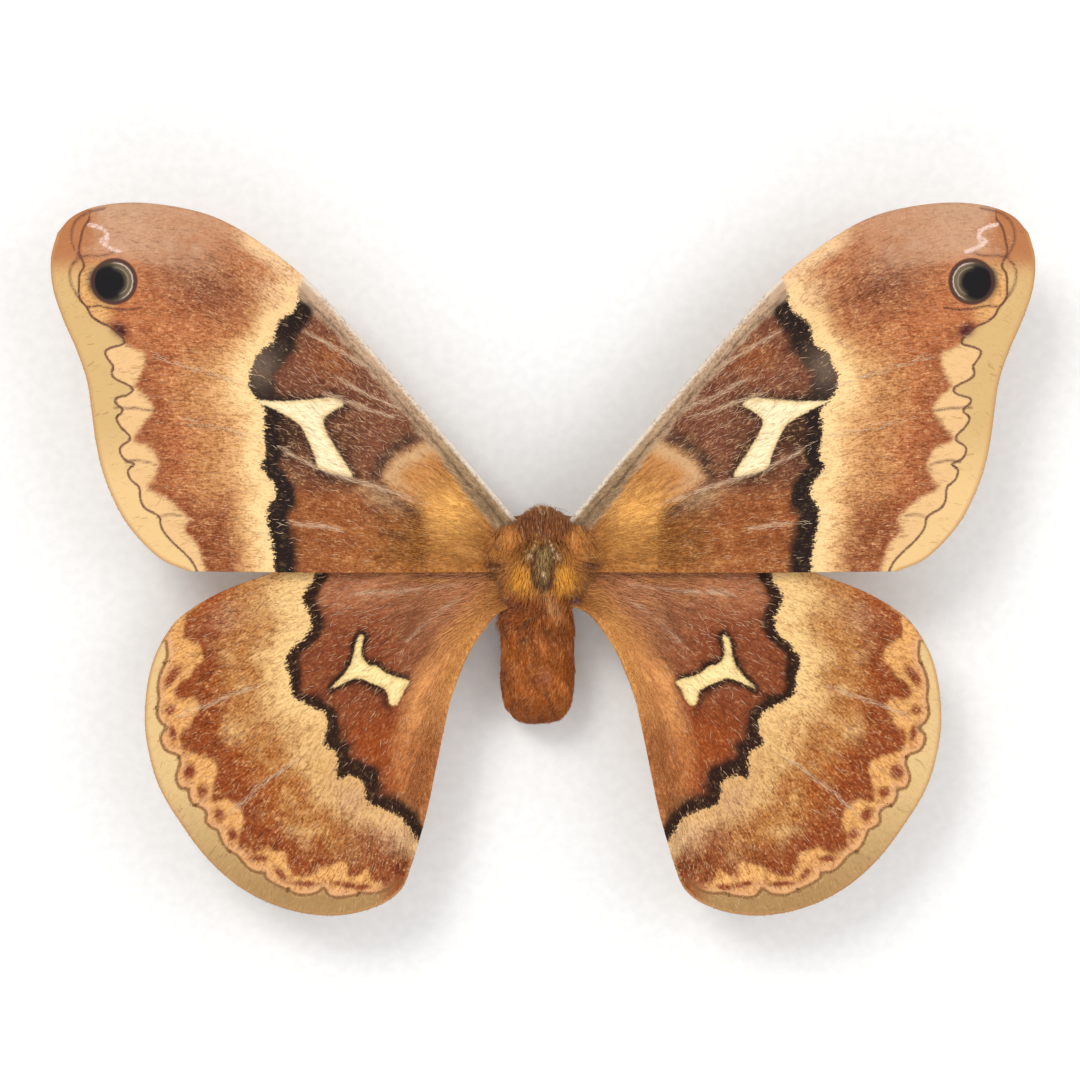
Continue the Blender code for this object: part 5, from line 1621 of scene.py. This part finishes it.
def mirrored(grid, side):
    """A right side's grid put on either side, its faces still pointing out."""
    return grid if side > 0 else grid[:, ::-1] * (-1, 1, 1)


def coat_on(name, grid, count, rng, form, colours, finish):
    """Tufts over a tube, in the colours of their roots."""
    found = scatter(grid, count, rng)
    share = found["shares"][:, 0]
    length, width, lift = form(share, rng)
    up = found["normal"]
    way, right = turned(found["along"], up, rng.normal(0, 0.22, count))
    root = found["place"] - up * 0.03
    swing = rng.normal(0, 0.1, count)
    lines = centre_lines(root, way, up, right, length, lift, 0.6 * lift, swing, SCALE_STATIONS)
    lines[..., 2] = np.maximum(lines[..., 2], COAT_FLOOR)
    values = {"coat": blended(share, colours), "tone": tones(rng, count)}
    places = found["shares"] * MAP_WHOLE + MAP_EDGE
    return blades(name, lines, right, up, width, HAIR_TAPER[:2], values, places, finish)


def blended(share, stops):
    """Colours along a share from 0 to 1, through the palette's named ones."""
    at = [stop[0] for stop in stops]
    colours = np.array([LIGHT[stop[1]] for stop in stops])
    return np.column_stack([np.interp(share, at, colours[:, channel]) for channel in range(3)])


CLAW_RINGS = 8
CLAW_SIDES = 8
PALP_HAIRS = 420
PALP_SIDES = 14
ANTENNA_SIDES = 12
LEG_COLOURS = [(0.0, "side dark"), (0.3, "leg"), (0.62, "leg light"), (0.7, "leg dark"), (1.0, "leg dark")]


def leg_form(share, rng):
    """Shaggy hair to the ankle and short scales on the foot."""
    foot = ease(share, 0.62, 0.7)
    length = rng.uniform(0.5, 1.05, len(share)) * (1 - 0.72 * foot)
    width = rng.uniform(0.055, 0.09, len(share))
    return length, width, rng.uniform(0.25, 0.7, len(share)) * (1 - 0.5 * foot)


def claws(path, side):
    """The two hooked claws at the end of a leg's path."""
    heading = path[-1] - path[-4]
    heading = heading / np.linalg.norm(heading)
    steps = np.linspace(0, 1, CLAW_RINGS)[:, None]
    height = 0.26 + 0.12 * np.sin(steps[:, 0] * 2.4) - 0.22 * steps[:, 0] ** 3
    made = []
    for spread in (-1, 1):
        aside = np.array([-heading[1], heading[0], 0]) * spread
        hook = path[-1] + heading * (0.55 * steps) + aside * (0.1 + 0.16 * np.sin(steps * 2.2))
        hook[:, 2] = height
        made.append(mirrored(tube_grid(hook, np.linspace(0.075, 0.012, CLAW_RINGS), CLAW_SIDES), side))
    return made


def leg(key, side, word, finish, claw_finish):
    """A leg from hip to toe, with its coat and its pair of claws."""
    line = smooth([(*point, radius) for point, radius in LEGS[key]], 8)
    path, radii = line[:, :3], line[:, 3] * LEG_SKIN
    run = run_along(path)
    share = run / run[-1]
    foot = ease(share, 0.64, 0.7)
    ring = (0.5 + 0.5 * np.cos(2 * np.pi * (run[-1] - run) / TOE_JOINT)) ** 6
    radii = radii * (1 - 0.3 * foot * ring)
    path[:, 2] = np.maximum(path[:, 2], radii + COAT_FLOOR)
    grid = mirrored(tube_grid(path, radii, LEG_SIDES), side)
    name = f"{key}leg_{word}"
    limb = slot(joined_tubes(name + "_limb", [grid], [blended(share, LEG_COLOURS)], finish))
    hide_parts(name)
    rng = np.random.default_rng(LEG_SEED + len(key) + side)
    coat = coat_on(name + "_coat", grid, LEG_HAIRS, rng, leg_form, LEG_COLOURS, finish)
    slot(coat)
    hooks = claws(path, side)
    colour = [np.tile(LIGHT["claw"], (CLAW_RINGS, 1))] * len(hooks)
    slot(joined_tubes(name + "_claws", hooks, colour, claw_finish))


def legs():
    """Six legs."""
    finish = bpy.data.materials["fur"]
    claw_finish = horn_finish("claw", "claw")
    for key in LEGS:
        for side, word in SIDES:
            leg(key, side, word, finish, claw_finish)


def horn_finish(name, colour_name):
    """Smooth dark horn, a little uneven."""
    g = Graph(name)
    place = g.place()
    speck = g.noise(place, 5.0, 2.0)
    colour = g.mix(speck, rgba(colour_name), (*(LIGHT[colour_name] * 0.55).tolist(), 1.0))
    g.bump(speck, 0.02, 0.4)
    return g.finish(colour, 0.34, 0.0, 0.5)


def antenna(side, word, finish):
    """A feeler: a jointed shaft with two pairs of fine branches to each joint, all bristled."""
    path = spaced(smooth(ANTENNA_PATH, 10), JOINT_STEPS * ANTENNA_JOINTS + 1)
    share = np.linspace(0, 1, len(path))
    radii = np.interp(share, [0.0, 0.05, 0.09, 0.6, 1.0], [0.34, 0.3, 0.19, 0.15, 0.06])
    ring = (0.5 + 0.5 * np.cos(2 * np.pi * share * ANTENNA_JOINTS)) ** 4
    radii = radii * (1 - 0.16 * ring)
    shaft = mirrored(tube_grid(path, radii, ANTENNA_SIDES), side)
    name = f"antenna_{word}"
    piece = joined_tubes(name + "_shaft", [shaft], [blended(share, ANTENNA_COLOURS)], finish)
    slot(piece)
    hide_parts(name)
    rng = np.random.default_rng(ANTENNA_SEED + side)
    branches(name, path, side, finish, rng)


def branches(name, path, side, finish, rng):
    """The branches of a feeler, in pairs that lean to its tip and droop, with their bristles."""
    index, hand = [], []
    for joint in range(FIRST_BRANCH, ANTENNA_JOINTS):
        for place in BRANCH_STEPS:
            index += [JOINT_STEPS * joint + place] * 2
            hand += [-1, 1]
    index, hand = np.array(index), np.array(hand)
    count = len(index)
    way = unit(np.gradient(path, axis=0))[index]
    aside = unit(np.cross(way, (0, 0, 1))) * hand[:, None]
    fan = np.radians(rng.normal(BRANCH_SWEEP, 2.5, count))[:, None]
    out = way * np.cos(fan) + aside * np.sin(fan)
    first = index.min() / index.max()
    along = (index / index.max() - first) / (1 - first)
    length = BRANCH_LENGTH * (np.sin(np.pi * np.clip(0.12 + 0.82 * along, 0, 1)) ** 0.55)
    length = length * rng.uniform(0.93, 1.05, count)
    up = upward(count)
    flat = np.zeros(count)
    steps = np.linspace(0, 1, BRANCH_STATIONS)
    right = np.cross(out, up)
    lines = centre_lines(path[index], out, up, right, length, flat + 0.05, flat + 0.25, -0.22 * hand, steps)
    lines = lines * (side, 1, 1)
    right = np.cross(out * (side, 1, 1), up)
    colour = blended(along, ANTENNA_COLOURS)
    places = np.column_stack([0.1 + 0.8 * along, 0.5 + 0.2 * hand])
    shape = np.interp(steps[:-1], [0, 0.2, 1.0], [1.0, 0.8, 0.45])
    values = {"coat": paint(colour, ("branch", flat + 0.6)), "tone": rng.normal(0, 0.5, count)}
    made = blades(name + "_branches", lines, right, up, flat + BRANCH_WIDTH, shape, values, places, finish)
    slot(made)
    bristles(name + "_bristles", lines, right, up, colour, places, finish, rng)


def bristles(name, lines, right, up, colour, places, finish, rng):
    """Fine bristles down both sides of each branch of a feeler."""
    count, stations = lines.shape[:2]
    each = BRISTLES_EACH
    at = rng.uniform(0.08, 0.95, (count, each)) * (stations - 1)
    low = np.minimum(at.astype(int), stations - 2)
    mixed = (at - low)[..., None]
    rows = np.arange(count)[:, None]
    root = (lines[rows, low] * (1 - mixed) + lines[rows, low + 1] * mixed).reshape(-1, 3)
    ahead = unit((lines[rows, low + 1] - lines[rows, low]).reshape(-1, 3))
    hand = rng.choice([-1.0, 1.0], count * each)[:, None]
    above = np.repeat(up, each, axis=0)
    lean = above * rng.uniform(-0.5, 0.5, (count * each, 1))
    way = unit(ahead * 0.75 + np.repeat(right, each, axis=0) * hand + lean)
    across = np.cross(way, above)
    length = rng.uniform(0.2, 0.34, count * each)
    none = np.zeros(count * each)
    made = centre_lines(root, way, above, across, length, none, none, none, SCALE_STATIONS)
    values = {"coat": np.repeat(colour, each, axis=0), "tone": rng.normal(0, 0.5, count * each)}
    width = none + BRISTLE_WIDTH
    places = np.repeat(places, each, axis=0)
    slot(blades(name, made, across, above, width, (1.0, 0.7), values, places, finish))


def antennae():
    """Both feelers."""
    for side, word in SIDES:
        antenna(side, word, bpy.data.materials["fur"])


def eyes():
    """The two compound eyes, each a dark dome of many small facets."""
    g = Graph("eye")
    place = g.place()
    cells = g.tree.nodes.new("ShaderNodeTexVoronoi")
    g.link(cells.inputs["Vector"], place)
    cells.inputs["Scale"].default_value = FACETS_PER_MM
    colour = g.mix(g.noise(place, 1.4, 2.0), (0.012, 0.008, 0.006, 1), (0.06, 0.03, 0.018, 1))
    g.bump(g.math("SUBTRACT", 1.0, cells.outputs["Distance"]), 0.02, 0.6)
    finish = g.finish(colour, 0.16, 0.0, 0.6)
    finish.node_tree.nodes["Principled BSDF"].inputs["Coat Weight"].default_value = 0.4
    for side, word in SIDES:
        bpy.ops.mesh.primitive_ico_sphere_add(subdivisions=5, radius=1.0)
        eye = bpy.context.object
        eye.name = f"eye_{word}_dome"
        for vertex in eye.data.vertices:
            vertex.co = [
                (centre * (side if axis == 0 else 1) + part * radius) * MM
                for axis, (centre, part, radius) in enumerate(zip(EYE_CENTRE, vertex.co, EYE_RADII))
            ]
        eye.data.shade_smooth()
        eye.data.materials.append(finish)
        slot(eye)
        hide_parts(f"eye_{word}")


def palp_form(share, rng):
    """The palps' short hair."""
    return [rng.uniform(*limits, len(share)) for limits in ((0.25, 0.5), (0.04, 0.07), (0.3, 0.7))]


def palps():
    """The two short furred feelers below the face."""
    finish = bpy.data.materials["fur"]
    grids = []
    line = smooth([(*point, radius * 0.75) for point, radius in PALP], 8)
    for side, word in SIDES:
        grid = mirrored(tube_grid(line[:, :3], line[:, 3], PALP_SIDES, (0, 1, 0.3)), side)
        grids.append(grid)
        rng = np.random.default_rng(PALP_SEED + side)
        coat = coat_on(f"palp_{word}_coat", grid, PALP_HAIRS, rng, palp_form, PALP_COLOURS, finish)
        slot(coat)
    colours = [blended(np.linspace(0, 1, len(line)), PALP_COLOURS)] * 2
    slot(joined_tubes("palps", grids, colours, finish))


# The photograph shows the moth from straight above. Its frame is 115.6 mm wide at the wings.
PHOTO_SIDE = 1080
MILLIMETRES_PER_PIXEL = 0.10703
BODY_AXIS_PIXEL = 543
FORE_AFT_PIXEL = 560.5
WING_LEVEL = 10.0
LENS = 100.0
SENSOR = 36.0
# The studio is in metres. A lamp has a name, a place, a width, a power and a colour.
FLOOR_WIDTH = 3.0
SKY_STRENGTH = 0.72
LAMPS = (
    ("key", (-0.35, 0.45, 0.75), 0.35, 3.4, (1.0, 0.985, 0.96)),
    ("fill", (0.55, 0.1, 0.6), 0.45, 1.3, (0.97, 0.985, 1.0)),
    ("back", (0.05, -0.6, 0.5), 0.45, 1.0, (1.0, 1.0, 1.0)),
)


def camera():
    """A long lens that looks straight down, framed as the photograph."""
    data = bpy.data.cameras.new("camera")
    data.lens = LENS
    data.sensor_width = SENSOR
    data.sensor_fit = "HORIZONTAL"
    data.clip_start = 0.01
    obj = bpy.data.objects.new("camera", data)
    bpy.context.scene.collection.objects.link(obj)
    middle = PHOTO_SIDE / 2
    width = PHOTO_SIDE * MILLIMETRES_PER_PIXEL
    x = (middle - BODY_AXIS_PIXEL) * MILLIMETRES_PER_PIXEL
    y = (FORE_AFT_PIXEL - middle) * MILLIMETRES_PER_PIXEL
    obj.location = (x * MM, y * MM, (WING_LEVEL + width * LENS / SENSOR) * MM)
    bpy.context.scene.camera = obj


def area_light(name, place, size, power, colour):
    """A soft square light that looks at the moth."""
    data = bpy.data.lights.new(name, "AREA")
    data.shape = "SQUARE"
    data.size = size
    data.energy = power
    data.color = colour
    obj = bpy.data.objects.new(name, data)
    obj.location = place
    bpy.context.scene.collection.objects.link(obj)
    obj.rotation_euler = (-Vector(place)).to_track_quat("-Z", "Y").to_euler()


def studio():
    """A pale floor, a bright soft sky and three soft lights."""
    g = Graph("floor")
    paper = g.noise(g.scaled(g.node("ShaderNodeNewGeometry"), (900, 900, 900)), 1.0, 3.0)
    colour = g.mix(g.ramp(paper, 0.3, 0.7), (0.86, 0.86, 0.85, 1), (0.90, 0.90, 0.89, 1))
    bpy.ops.mesh.primitive_plane_add(size=FLOOR_WIDTH)
    floor = bpy.context.object
    floor.name = "floor"
    floor.data.materials.append(g.finish(colour, 0.9, 0.0, 0.2))
    world = bpy.data.worlds.new("studio")
    bpy.context.scene.world = world
    world.use_nodes = True
    sky = world.node_tree.nodes["Background"]
    sky.inputs["Color"].default_value = (1.0, 1.0, 1.0, 1)
    sky.inputs["Strength"].default_value = SKY_STRENGTH
    for lamp in LAMPS:
        area_light(*lamp)
    bpy.context.scene.view_settings.view_transform = "Standard"


wings()
wing_coats()
body()
eyes()
palps()
legs()
antennae()
camera()
studio()
